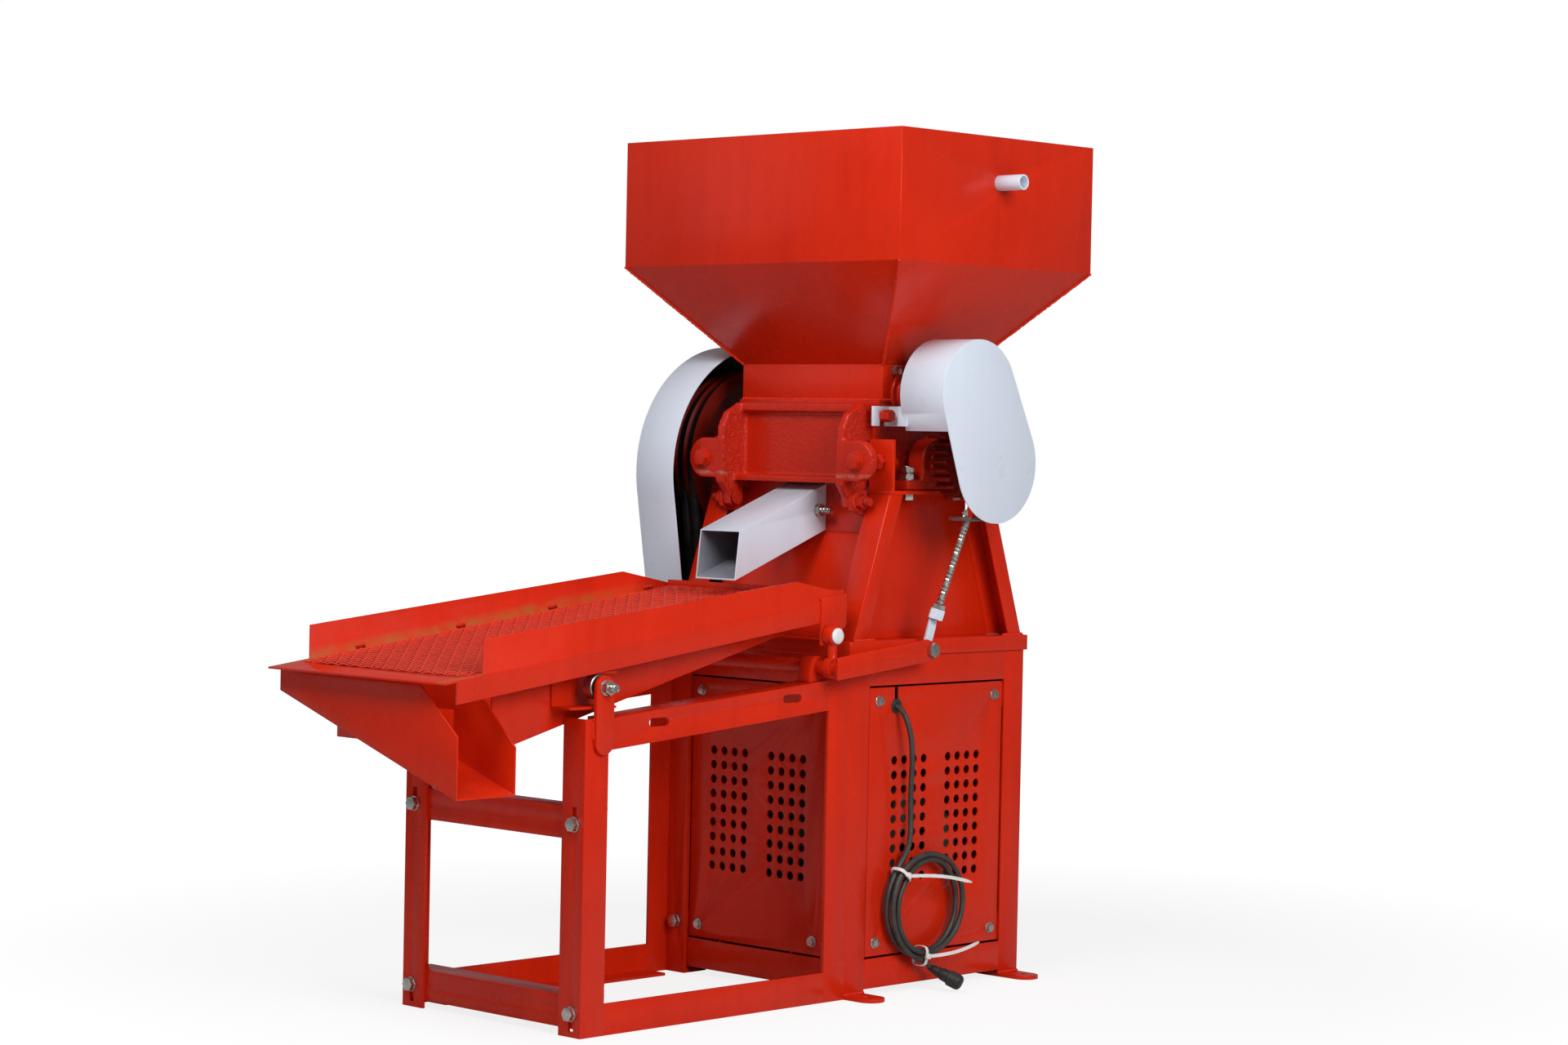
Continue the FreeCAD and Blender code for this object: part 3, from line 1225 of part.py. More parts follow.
def roller_ears():
    thick = "6"
    x = half_width
    plate = block("ear_plate", (x, x + " + " + thick), ("-ear_plate_y - 15", "-ear_plate_y + 15"),
                  ("stand_leg_top - 30", "track_roller_level"))
    top = rod("ear_plate_top", "+X", (x, "-ear_plate_y", "track_roller_level"), "15", thick)
    bottom = rod("ear_plate_bottom", "+X", (x, "-ear_plate_y", "stand_leg_top - 30"), "15", thick)
    bore = rod("ear_plate_bore", "+X", (x + " - 1", "-ear_plate_y", "track_roller_level"), "5.3", "9")
    ear = cut("roller_ear", fused("roller_ear_blank", [plate, top, bottom]), [bore])
    return keep("roller_ears", group("roller_ears", both_sides(ear)))


def track_rollers():
    """The two bearings that carry the sieve's front, each on a bolt in its ear."""
    length = "15"
    base = "%s - 20" % half_width
    for label, sign in (("right_track_roller", 1), ("left_track_roller", -1)):
        start = base if sign > 0 else "-(%s) - %s" % (base, length)
        tyre = rod(label + "_tyre", "+X", (start, "-ear_plate_y", "track_roller_level"),
                   "track_roller_radius",
                   length)
        bore = rod(label + "_bore", "+X", (start + " - 1", "-ear_plate_y", "track_roller_level"),
                   "5 + running_clearance", "20")
        keep(label, cut(label, tyre, [bore]))


def zinc_bolts():
    """Plated hexagon bolts of the stand, the rollers, the bearings and the chute."""
    members = []
    for level in ("cross_bar_low + bar_bolt_rise", "cross_bar_high + bar_bolt_rise"):
        members += both_sides(bolt("bar_bolt", "+Y",
                                   (half_width + " - bar_bolt_inset", "-stand_front_y - 8", level),
                                   "stand_bolt_radius", "24", "18.5", "6.4", "9.5"))
    members += both_sides(bolt("post_bolt", "+Y",
                               (half_width + " - post_bolt_inset", "-(%s) - angle_wall - 8" % half_depth,
                                                   "cross_bar_low + post_bolt_rise"), "stand_bolt_radius",
                                                   "22", "18.5", "6.4", "9.5"))
    shank = rod("roller_bolt_shank", "+X", (half_width + " - 25", "-ear_plate_y", "track_roller_level"),
                "5", "52")
    head = rod("roller_bolt_head", "+X", (half_width + " - 25", "-ear_plate_y", "track_roller_level"), "8",
               "4.5")
    nut = hexagon("roller_bolt_nut", "+X", (half_width + " + 6.2", "-ear_plate_y", "track_roller_level"),
                  "19", "9")
    members += both_sides(fused("roller_bolt", [shank, head, nut]))
    stud = rod("bearing_stud", "+Z", ("pillow_x", "pillow_bolt_y", "shelf_level - shelf_wall - 7"), "6",
               "46")
    low = hexagon("bearing_stud_head", "+Z", ("pillow_x", "pillow_bolt_y", "shelf_level - shelf_wall - 8"),
                  "21", "8")
    nuts = hexagon("bearing_nuts", "+Z", ("pillow_x", "pillow_bolt_y", "shelf_level + 14"), "21", "9")
    lock = hexagon("bearing_lock_nut", "+Z", ("pillow_x", "pillow_bolt_y", "shelf_level + 24"), "21", "8")
    members += four_corners(fused("bearing_bolt", [stud, low, nuts, lock]))
    level = chute_bolt_level
    clamp = rod("chute_bolt_shank", "+X", ("chute_half_width - 3.5", "-chute_bolt_y", level), "5", "29.5")
    clamp_nut = hexagon("chute_bolt_nut", "+X", ("chute_half_width", "-chute_bolt_y", level), "18", "8")
    clamp_head = rod("chute_bolt_inside", "+X", ("chute_half_width - 4.7", "-chute_bolt_y", level), "8",
                     "2.1")
    members.append(fused("chute_bolt", [clamp, clamp_nut, clamp_head]))
    neck = bolt("neck_bolt", "-X", ("neck_half_width + 17", "-neck_half_depth + 26", "neck_top - 9"),
                "4", "16", "15", "6", "8.5")
    members += both_sides(neck)
    guard = bolt("guard_bolt", "-X", ("neck_half_width + 20", "-head_half_depth + 4",
                                      "gear_guard_skirt + 20"),
                 "5", "17.4", "17", "8.2", "8.5")
    members.append(guard)
    return keep("zinc_bolts", group("zinc_bolts", members))


# Sieve
def ridge(y):
    """The level of the sieve's bent edge at a distance in front of the middle."""
    return "(sieve_rear_ridge - sieve_slope * ((%s) - sieve_rear_y))" % y


def sloped_strip(name, front, rear, low, high, start, width):
    """A strip that follows the sieve's slope, between two heights above its ridge."""
    return prism(name, "YZ_Plane", [
        ("-(%s)" % front, "%s + (%s)" % (ridge(front), low)),
        ("-(%s)" % rear, "%s + (%s)" % (ridge(rear), low)),
        ("-(%s)" % rear, "%s + (%s)" % (ridge(rear), high)), ("-(%s)" % front, "%s + (%s)" % (ridge(front),
                                                                                              high))],
        start, width)


def sieve_tray():
    """Side angles, upright walls, end bars and the hanger plates of the shaking tray."""
    wall = "sieve_sheet"
    band = sloped_strip("band", "sieve_front_y", "sieve_rear_y + 2", "-band_height", "0",
                        "sieve_half_width - " + wall, wall)
    ledge = sloped_strip("ledge", "sieve_front_y", "sieve_rear_y + 2", "-" + wall, "0",
                         "sieve_half_width - ledge_width", "ledge_width")
    side = prism("side_wall_sheet", "YZ_Plane", [
        ("-sieve_front_y + 43", ridge("sieve_front_y - 43")),
        ("-sieve_rear_y - 2", ridge("sieve_rear_y + 2")),
        ("-sieve_rear_y - 2", ridge("sieve_rear_y") + " + 3"),
        ("-sieve_rear_y - 92", ridge("sieve_rear_y + 92") + " + 32"),
        ("-sieve_front_y + 43", ridge("sieve_front_y - 43") + " + 43")],
        "sieve_half_width - 2 - " + wall, wall)
    rear = sloped_strip("rear_bar", "sieve_rear_y + 2 + " + wall, "sieve_rear_y + 2", "-band_height", "8",
                        "-sieve_half_width + " + wall, "2 * sieve_half_width - 2 * " + wall)
    front = sloped_strip("front_lip", "sieve_front_y + 20", "sieve_front_y - 20", "-" + wall, "0",
                         "-sieve_half_width", "2 * sieve_half_width")
    hanger = prism("hanger", "YZ_Plane", [
        ("rocker_y - 12", "hanger_z - 13"), ("rocker_y + 12", "hanger_z - 13"),
        ("-sieve_rear_y - 2", "hanger_z + 14"), ("-sieve_rear_y - 2", ridge("sieve_rear_y + 2") + " + 4"),
        ("rocker_y - 12", ridge("10 - rocker_y") + " + 4")], "sieve_half_width", "4")
    bore = rod("hanger_bore", "+X", ("-200", "rocker_y", "hanger_z"), "7.8", "400")
    members = both_sides(band) + both_sides(ledge) + both_sides(side) + both_sides(hanger) + [rear, front]
    return keep("sieve_tray", cut("sieve_tray", fused("sieve_tray_blank", members), [bore]))


def sieve_mesh():
    """The screening sheet, framed by the ledges."""
    sheet_body = sloped_strip("mesh_sheet", "sieve_front_y - 20", "sieve_rear_y + 6", "0", "1.6",
                              "-sieve_half_width + 6", "2 * sieve_half_width - 12")
    return keep("sieve_mesh", sheet_body)


def under_pan():
    """The pan below the mesh, that runs what falls through to the trough."""
    wall = "sieve_sheet"
    side = prism("pan_side", "YZ_Plane", [
        ("-pan_front_y", ridge("pan_front_y") + " - " + wall), ("-pan_front_y", "pan_front_low"),
        ("-pan_rear_y", "pan_rear_low"), ("-pan_rear_y", ridge("pan_rear_y") + " - " + wall)],
        "pan_half_width + 1 - " + wall, wall)
    floor = prism("pan_floor", "YZ_Plane", [
        ("-pan_front_y", "pan_front_low"), ("-pan_rear_y", "pan_rear_low"),
        ("-pan_rear_y", "pan_rear_low + " + wall), ("-pan_front_y", "pan_front_low + " + wall)],
        "-pan_half_width", "2 * pan_half_width")
    back = prism("pan_back", "YZ_Plane", [
        ("-pan_rear_y - " + wall, "pan_rear_low"), ("-pan_rear_y", "pan_rear_low"),
        ("-pan_rear_y", ridge("pan_rear_y") + " - " + wall),
        ("-pan_rear_y - " + wall, ridge("pan_rear_y") + " - " + wall)], "-pan_half_width",
        "2 * pan_half_width")
    pan = fused("pan_sheets", both_sides(side) + [floor, back])
    return keep("under_pan", group("under_pan", [pan] + both_sides(roller_track())))


def roller_track():
    """The channel under a side of the sieve that runs on its front roller."""
    inner = "pan_half_width + 1"
    outer = "sieve_half_width - sieve_sheet - 1"
    top = "track_roller_level + track_roller_radius + 0.4"
    low = "track_roller_level - track_roller_radius - 11"
    span = ("-ear_plate_y - 50", "-ear_plate_y + 12 + track_roller_radius")
    web = block("track_web", (inner, inner + " + 3"), span, (low, top + " + 3"))
    over = block("track_top", (inner, outer), span, (top, top + " + 3"))
    under = block("track_low", (inner, outer), span, (low, low + " + 3"))
    return fused("roller_track", [web, over, under])


def side_chute():
    """The trough across the sieve's mouth: it runs down to the right and is open there."""
    wall = "sieve_sheet"
    left = "-sieve_half_width + sieve_sheet"
    right = "trough_right_x"
    top = ridge("trough_front_y") + " - " + wall
    profile = [(left, top), (left, "trough_left_low"), (right, "trough_right_low"),
               (right, "trough_right_low + 77"), (right + " - 76", top)]
    front = prism("trough_front", "XZ_Plane", profile, "trough_front_y - " + wall, wall)
    back_top = ridge("trough_back_y") + " - " + wall
    back_profile = [(left, back_top), (left, "pan_front_low"), ("8", "pan_front_low"),
                    (right, "trough_right_low"), (right, "trough_right_low + 60"),
                    (right + " - 100", back_top)]
    back = prism("trough_back", "XZ_Plane", back_profile, "trough_back_y - " + wall, wall)
    floor = prism("trough_floor", "XZ_Plane", [
        (left, "trough_left_low"), (right, "trough_right_low"), (right, "trough_right_low + " + wall),
        (left, "trough_left_low + " + wall)], "trough_back_y - " + wall,
        "trough_front_y - trough_back_y + " + wall)
    end = block("trough_end", (left, left + " + " + wall), ("-trough_front_y", "-trough_back_y + " + wall),
                ("trough_left_low", top))
    window = block("trough_window", ("-70", "60"),
                   ("-trough_back_y - 2", "-trough_back_y + 5"),
                   ("pan_front_low + 6", "pan_front_low + 50"))
    return keep("side_chute", cut("side_chute", fused("side_chute_blank", [front, back, floor, end]),
                                  [window]))


def sieve_pins():
    """Hanger pins with their white caps."""
    pin = rod("hanger_pin", "+X", ("sieve_half_width - 4", "rocker_y", "hanger_z"), "7.8", "25.5")
    cap = rod("hanger_cap", "+X", ("arm_x + 14.6", "rocker_y", "hanger_z"), "10.5", "5")
    return keep("sieve_pins", group("sieve_pins", both_sides(fused("sieve_pin", [pin, cap]))))


# Rocker and push rod
def rocker_parts():
    shaft_left = "-arm_x - 13"
    bar = rod("rocker_bar", "+X", (shaft_left, "rocker_y", "rocker_z"), "rocker_shaft_radius",
              "lever_x - (%s)" % shaft_left)
    hub = rod("arm_hub", "+X", ("arm_x", "rocker_y", "hanger_z"), "13", "14")
    stem = rod("arm_stem", "+Z", ("arm_x + 7", "rocker_y", "rocker_z + 8"), "6.3",
               "hanger_z - rocker_z - 10")
    collar = rod("arm_collar", "+X", ("arm_x", "rocker_y", "rocker_z"), "14", "13")
    bore = rod("arm_bore", "+X", ("arm_x - 3", "rocker_y", "hanger_z"), "7.8 + running_clearance", "22")
    arm = cut("rocker_arm", fused("arm_blank", [hub, stem, collar]), [bore])
    keep("rocker_shaft", fused("rocker_shaft", [bar] + both_sides(arm)))
    base = rail_level("-rocker_y")
    bearing = prism("rocker_bearing", "YZ_Plane", [
        ("rocker_y - 20", rail_level("-rocker_y + 20")), ("rocker_y + 20", rail_level("-rocker_y - 20")),
        ("rocker_y + 20", base + " + 9"), ("rocker_y + 15", "rocker_z + 9"),
        ("rocker_y + 8", "rocker_z + 15"),
        ("rocker_y - 8", "rocker_z + 15"), ("rocker_y - 15", "rocker_z + 9"),
        ("rocker_y - 20", base + " + 6")],
        half_width + " - 32", "22")
    hole = rod("rocker_bearing_bore", "+X", (half_width + " - 40", "rocker_y", "rocker_z"),
               "rocker_shaft_radius + running_clearance", "40")
    keep("rocker_bearings", group("rocker_bearings", both_sides(cut("rocker_bearing_cut", bearing,
                                                                    [hole]))))
    half = "lever_height / 2"
    lever = prism("lever_bar", "YZ_Plane", [
        ("rocker_y - 14", "rocker_z - %s" % half), ("rocker_y - 14", "rocker_z + %s" % half),
        ("lever_end_y - 8", "lever_end_z + %s" % half), ("lever_end_y + 6", "lever_end_z + %s - 4" % half),
        ("lever_end_y + 12", "lever_end_z + 2"), ("lever_end_y + 10", "lever_end_z - %s + 4" % half),
        ("lever_end_y + 2", "lever_end_z - %s" % half)], "lever_x", "lever_wall")
    hole = rod("lever_hole", "+X", ("lever_x - 1", "lever_end_y", "lever_end_z"), "lever_bolt_radius",
               "lever_wall + 2")
    keep("rocker_lever", cut("lever_cut", lever, [hole]))
    keep("lever_bolt", bolt("lever_bolt", "-X", ("lever_x + lever_wall + 7", "lever_end_y", "lever_end_z"),
                            "lever_bolt_radius", "24", "20", "7"))


def push_rod_line():
    """The slanting line of the push rod: its eye, its plate and its upper end."""
    eye = FreeCAD.Vector(size("lever_x") - 6, size("lever_end_y"), size("lever_end_z"))
    aim_y = -size("lever_end_y") / (size("main_shaft_level") - size("lever_end_z"))
    aim_x = (size("rod_plate_x") - eye.x) / (size("rod_plate_z") - eye.z)
    slant = FreeCAD.Vector(aim_x, aim_y, 1)
    return eye, slant


def push_rod_parts():
    eye, slant = push_rod_line()
    lean = FreeCAD.Rotation(FreeCAD.Vector(0, 0, 1), slant)
    along = slant.normalize()
    ring = rod("eye_ring", "+X", ("lever_x - 10.3", "lever_end_y", "lever_end_z"), "13.5", "10")
    bore = rod("eye_bore", "+X", ("lever_x - 20", "lever_end_y", "lever_end_z"),
               "lever_bolt_radius + running_clearance",
               "30")
    shank = beam("eye_shank", eye + along * 9, eye + along * 44, 8)
    nut = document.addObject("Part::Feature", "eye_nut")
    nut.Shape = Part.Face(Part.makePolygon([
        FreeCAD.Vector(11 * math.cos(math.pi * k / 3), 11 * math.sin(math.pi * k / 3), 0) for k in range(7)
    ])).extrude(FreeCAD.Vector(0, 0, 14))
    nut.Placement = FreeCAD.Placement(eye + along * 44, lean)
    clear = rod("eye_lever_gap", "+X", ("lever_x - 0.3", "lever_end_y", "lever_end_z"), "30", "20")
    keep("rod_eye", cut("rod_eye", fused("rod_eye_blank", [ring, shank, nut]), [bore, clear]))
    top = eye + along * ((size("rod_plate_z") + 18 - eye.z) / along.z)
    low_nut = beam("rod_low_nut", eye + along * 58, eye + along * 64, 8.5)
    stem = beam("rod_stem", eye + along * 58, top, size("rod_radius"))
    plate_low = eye + along * ((size("rod_plate_z") - 11 - eye.z) / along.z)
    nuts = beam("rod_nut", plate_low, plate_low + along * 8, 8.5)
    keep("push_rod", fused("push_rod", [stem, nuts, low_nut]))
    strap_bore = "eccentric_radius + 2 * eccentric_throw + 0.9"
    loop = rod("strap_ring", "+X", ("eccentric_x + 0.5", "0", "main_shaft_level"), strap_bore + " + 9",
               "eccentric_width - 1")
    hollow = rod("strap_bore", "+X", ("eccentric_x - 5", "0", "main_shaft_level"), strap_bore, "30")
    plate = block("strap_plate", ("rod_plate_x - 20", "rod_plate_x + 20"), ("-32", "-2"),
                  ("rod_plate_z - 2", "rod_plate_z + 3"))
    web = block("strap_web", ("eccentric_x + 0.5", "eccentric_x + 8"), ("-26", "-6"),
                ("rod_plate_z", "main_shaft_level - eccentric_radius - 2 * eccentric_throw - 3"))
    rod_hole = beam("strap_rod_hole", eye + along * 150, top + along * 4, size("rod_radius"))
    keep("eccentric_strap", cut("eccentric_strap", fused("strap_blank", [loop, plate, web]),
                                [hollow, rod_hole]))


# Cord
def cord_route():
    """The free stretch of the cord, from the keyhole down to its coil."""
    hole = FreeCAD.Vector(size("cabinet_width") / 2, size("keyhole_y"), size("keyhole_z"))
    steps = [
        (-12, 0, 3), (7, -0.5, -2), (18, 0.5, -18), (22, 5.5, -42), (20, 10.5, -72),
        (16, 13.5, -102), (13, 16.5, -130), (13, 17.5, -156), (15, 15.5, -178), (16, 13.5, -203),
    ]
    return [hole + FreeCAD.Vector(*step) for step in steps]


def tube_along(points, radius):
    """Straight runs joined by tangent arcs as large as the two runs allow."""
    edges = []
    start = points[0]
    for before, corner, after in zip(points, points[1:], points[2:]):
        inward = (before - corner).normalize()
        outward = (after - corner).normalize()
        turn = math.pi - inward.getAngle(outward)
        back = 0.45 * min((before - corner).Length, (after - corner).Length)
        bend = back / math.tan(turn / 2)
        print("cord bend radius %.1f" % bend)
        first = corner + inward * back
        last = corner + outward * back
        bisector = (inward + outward).normalize()
        middle = corner + bisector * (math.hypot(bend, back) - bend)
        edges.append(Part.LineSegment(start, first).toShape())
        edges.append(Part.Arc(first, middle, last).toShape())
        start = last
    edges.append(Part.LineSegment(start, points[-1]).toShape())
    path = Part.Wire(edges)
    ring = Part.Wire(Part.makeCircle(radius, points[0], points[1] - points[0]))
    solid = path.makePipeShell([ring], True, True)
    print("cord path %.1f, volume over section times length %.4f"
          % (path.Length, solid.Volume / (math.pi * radius ** 2 * path.Length)))
    return solid


def cord_parts():
    radius = size("cord_radius")
    grommet = rod("grommet_body", "+X", (half_width + " - angle_wall - 1.5", "keyhole_y", "keyhole_z"),
                  "keyhole_radius", "5")
    start, after = cord_route()[:2]
    bore = beam("grommet_bore", start, after, radius)
    keep("cord_grommet", cut("cord_grommet", grommet, [bore]))
    cord = document.addObject("Part::Feature", "power_cord")
    cord.Shape = tube_along(cord_route(), radius)
    keep("power_cord", cord)
    ring = rod("coil_outer", "+X", ("coil_x", "coil_y", "coil_z"), "coil_radius", "coil_thick")
    hole = rod("coil_inner", "+X", ("coil_x - 1", "coil_y", "coil_z"), "coil_hole", "coil_thick + 2")
    keep("cord_coil", cut("cord_coil", ring, [hole]))
    middle = FreeCAD.Vector(size("coil_x"), size("coil_y"), size("coil_z"))
    root = middle + FreeCAD.Vector(19, 5, -size("coil_radius") - 5)
    tip = middle + FreeCAD.Vector(63, 19, -104.5)
    aim = (tip - root).normalize()
    plug = beam("plug_grip", root, root + aim * 30, 9)
    nose = beam("plug_nose", root + aim * 30, tip, 11)
    keep("cord_plug", fused("cord_plug", [plug, nose]))
    ties = [cable_tie("upper_tie", 139, middle + FreeCAD.Vector(39, 63, 29)),
            cable_tie("lower_tie", 262, middle + FreeCAD.Vector(39, 81, -55))]
    keep("cable_ties", group("cable_ties", ties))


def cable_tie(name, angle, tail_end):
    """A flat band round the coil's section, with its head and its free end."""
    thick = 1.2
    wide = 4.8
    inner = size("coil_hole")
    depth = size("coil_radius") - inner
    turn = FreeCAD.Rotation(FreeCAD.Vector(1, 0, 0), angle)
    centre = FreeCAD.Vector(size("coil_x"), size("coil_y"), size("coil_z"))
    spot = FreeCAD.Placement(centre, turn)
    band = document.addObject("Part::Feature", name + "_band")
    band.Shape = Part.makeBox(size("coil_thick") + 2 * thick, depth + 2 * thick, wide,
                              FreeCAD.Vector(-thick, inner - thick, -wide / 2))
    band.Placement = spot
    ring = rod(name + "_coil", "+X", ("coil_x", "coil_y", "coil_z"), "coil_radius", "coil_thick")
    hole = rod(name + "_coil_hole", "+X", ("coil_x - 1", "coil_y", "coil_z"), "coil_hole", "coil_thick + 2")
    head = document.addObject("Part::Feature", name + "_head")
    head.Shape = Part.makeBox(5, 8, 7, FreeCAD.Vector(size("coil_thick") + 0.2, inner + depth / 2 - 4,
                                                      -3.5))
    head.Placement = spot
    root = spot.multVec(FreeCAD.Vector(size("coil_thick") + 3, inner + depth / 2, 0))
    tail = document.addObject("Part::Feature", name + "_tail")
    tail.Shape = Part.makeBox(thick, wide, (tail_end - root).Length,
                              FreeCAD.Vector(-thick / 2, -wide / 2, 0))
    tail.Placement = FreeCAD.Placement(root, FreeCAD.Rotation(FreeCAD.Vector(0, 0, 1), tail_end - root))
    return fused(name, [cut(name + "_loop", band, [cut(name + "_core", ring, [hole])]), head, tail])


def finish():
    document.recompute()
    failed = [item for item in document.Objects if "Invalid" in item.State or "Error" in item.State]
    for item in failed:
        print("failed:", item.Name, item.Label, item.State, item.getStatusString())
    if failed:
        raise ValueError("%d objects failed" % len(failed))
    for item in parts_made:
        if item.Shape.isNull() or not item.Shape.isValid() or not item.Shape.Solids:
            raise ValueError("%s has no valid solid" % item.Label)
    if len(parts_made) > 60:
        raise ValueError("%d sub-parts" % len(parts_made))
    for item in parts_made:
        item.Shape.exportStep("parts/%s.step" % item.Label)
        print("%-20s %2d solids %10.0f mm3" % (item.Label, len(item.Shape.Solids), item.Shape.Volume))
    print(len(parts_made), "sub-parts")


cabinet_frame()
panels()
panel_screws()
foot_tabs()
base_tray()
motor_parts()
belts()
a_frame_legs()
top_shelves()
inner_hood()
pillow_blocks()
main_shaft_parts()
feed_parts()
gears()
head_body()
front_cover()
cover_bolts()
hulling_screen()
hulling_blade()
hopper()
feed_neck()
gear_guard()
belt_guard()
discharge_chute()
stand_legs()
stand_side_rails()
stand_cross_bars()
roller_ears()
track_rollers()
zinc_bolts()
sieve_tray()
sieve_mesh()
under_pan()
side_chute()
sieve_pins()
rocker_parts()
push_rod_parts()
cord_parts()
finish()
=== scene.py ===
import bpy
import bmesh
import json
import math
from mathutils import Matrix, Vector, noise


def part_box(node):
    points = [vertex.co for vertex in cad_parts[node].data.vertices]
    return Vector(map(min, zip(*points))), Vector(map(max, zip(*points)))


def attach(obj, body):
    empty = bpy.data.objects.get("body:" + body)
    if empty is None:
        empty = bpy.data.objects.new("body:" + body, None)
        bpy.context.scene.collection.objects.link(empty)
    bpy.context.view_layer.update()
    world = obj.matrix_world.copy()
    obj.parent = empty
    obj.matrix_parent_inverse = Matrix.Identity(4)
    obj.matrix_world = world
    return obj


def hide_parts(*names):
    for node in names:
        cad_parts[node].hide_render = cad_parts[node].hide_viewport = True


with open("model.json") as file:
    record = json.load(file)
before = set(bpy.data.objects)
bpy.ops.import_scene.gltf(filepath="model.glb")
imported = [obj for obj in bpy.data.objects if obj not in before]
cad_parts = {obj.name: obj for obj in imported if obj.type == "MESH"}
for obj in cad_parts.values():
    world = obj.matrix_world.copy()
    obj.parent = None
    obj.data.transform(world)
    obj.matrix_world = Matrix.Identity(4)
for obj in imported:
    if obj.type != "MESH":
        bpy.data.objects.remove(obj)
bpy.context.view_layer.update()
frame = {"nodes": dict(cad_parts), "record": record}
scene = bpy.context.scene
scene.view_settings.view_transform = "Standard"
print("stage: frame loaded,", len(frame["nodes"]), "nodes")


# Camera, light and floor
camera = {
    "place": (3.3199, -3.6001, 0.7503), "azimuth": 43.78, "elevation": 1.39, "roll": 1.17, "lens": 80.04,
}
lamps = {
    "sideLamp": {"place": (3.2, -0.95, 1.95), "aim": (0, -0.2, 0.75), "size": (1.6, 1.6), "power": 72},
    "frontLamp": {"place": (0.4, -1.9, 2.5), "aim": (0, -0.2, 0.8), "size": (1.3, 1.0), "power": 33},
    "fillLamp": {"place": (-2.4, -2.6, 1.6), "aim": (0, -0.3, 0.5), "size": (1.6, 1.6), "power": 3.5},
}
worldLight = {"colour": (0.95, 0.97, 1.0, 1), "strength": 0.21}
floorLook = {
    "colour": (0.66, 0.66, 0.66, 1), "half": 12.0, "whiten": 0.74, "glow": 1.12, "near": 0.7, "far": 2.2,
}


def placed(name, data):
    # A new object of the scene
    piece = bpy.data.objects.new(name, data)
    scene.collection.objects.link(piece)
    return piece


def makeCamera():
    heading, drop, roll = (math.radians(camera[key]) for key in ("azimuth", "elevation", "roll"))
    forward = Vector((-math.sin(heading) * math.cos(drop), math.cos(heading) * math.cos(drop),
                      -math.sin(drop)))
    level = Vector((math.cos(heading), math.sin(heading), 0))
    upward = level.cross(forward)
    right = level * math.cos(roll) + upward * math.sin(roll)
    up = upward * math.cos(roll) - level * math.sin(roll)
    data = bpy.data.cameras.new("photoCamera")
    data.lens = camera["lens"]
    data.sensor_width = 36
    eye = placed("photoCamera", data)
    turn = Matrix((right, up, -forward)).transposed().to_4x4()
    eye.matrix_world = Matrix.Translation(Vector(camera["place"])) @ turn
    scene.camera = eye


def makeLamps():
    for name, lamp in lamps.items():
        data = bpy.data.lights.new(name, "AREA")
        data.shape = "RECTANGLE"
        data.size, data.size_y = lamp["size"]
        data.energy = lamp["power"]
        light = placed(name, data)
        light.location = lamp["place"]
        aim = Vector(lamp["aim"]) - light.location
        light.rotation_euler = aim.to_track_quat("-Z", "Y").to_euler()


def makeWorld():
    world = bpy.data.worlds.new("studio")
    world.use_nodes = True
    tree = world.node_tree
    tree.nodes.clear()
    path = tree.nodes.new("ShaderNodeLightPath")
    seen = addMath(tree, "MAXIMUM", path.outputs["Is Camera Ray"], path.outputs["Is Transmission Ray"])
    glow = add(tree, "ShaderNodeBackground", Color=worldLight["colour"], Strength=worldLight["strength"])
    white = add(tree, "ShaderNodeBackground", Color=(1, 1, 1, 1))
    mixedOut(tree, "ShaderNodeOutputWorld", seen, glow, white)
    scene.world = world


def makeFloor():
    half = floorLook["half"]
    mesh = bpy.data.meshes.new("floor")
    corners = [(-half, -half, 0), (half, -half, 0), (half, half, 0), (-half, half, 0)]
    mesh.from_pydata(corners, [], [(0, 1, 2, 3)])
    floor = placed("floor", mesh)
    material, tree = emptyMaterial("floorPaper")
    paper = add(tree, "ShaderNodeBsdfDiffuse", Color=floorLook["colour"])
    glow = add(tree, "ShaderNodeEmission", Strength=floorLook["glow"])
    path = tree.nodes.new("ShaderNodeLightPath")
    place = tree.nodes.new("ShaderNodeTexCoord").outputs["Object"]
    away = add(tree, "ShaderNodeVectorMath", {"operation": "LENGTH"}, Vector=place).outputs["Value"]
    far = ranged(tree, away, floorLook["near"], floorLook["far"], (floorLook["whiten"], 1.0))
    share = times(tree, far, path.outputs["Is Camera Ray"])
    mixedOut(tree, "ShaderNodeOutputMaterial", share, paper, glow)
    mesh.materials.append(material)


# Small helpers for node trees
def addMath(tree, operation, first, second=None):
    node = tree.nodes.new("ShaderNodeMath")
    node.operation = operation
    for socket, value in zip(node.inputs, (first, second)):
        setSocket(tree, socket, value)
    return node.outputs[0]


def setSocket(tree, socket, value):
    if value is None:
        return
    if isinstance(value, bpy.types.NodeSocket):
        tree.links.new(value, socket)
    else:
        socket.default_value = value


def add(tree, kind, settings=None, **inputs):
    node = tree.nodes.new(kind)
    for name, value in (settings or {}).items():
        setattr(node, name, value)
    for name, value in inputs.items():
        setSocket(tree, node.inputs[name.replace("_", " ")], value)
    return node


def times(tree, first, second):
    return addMath(tree, "MULTIPLY", first, second)


def vector(tree, **parts):
    return add(tree, "ShaderNodeCombineXYZ", **parts).outputs[0]


def splitOf(tree, value):
    return add(tree, "ShaderNodeSeparateXYZ", Vector=value).outputs


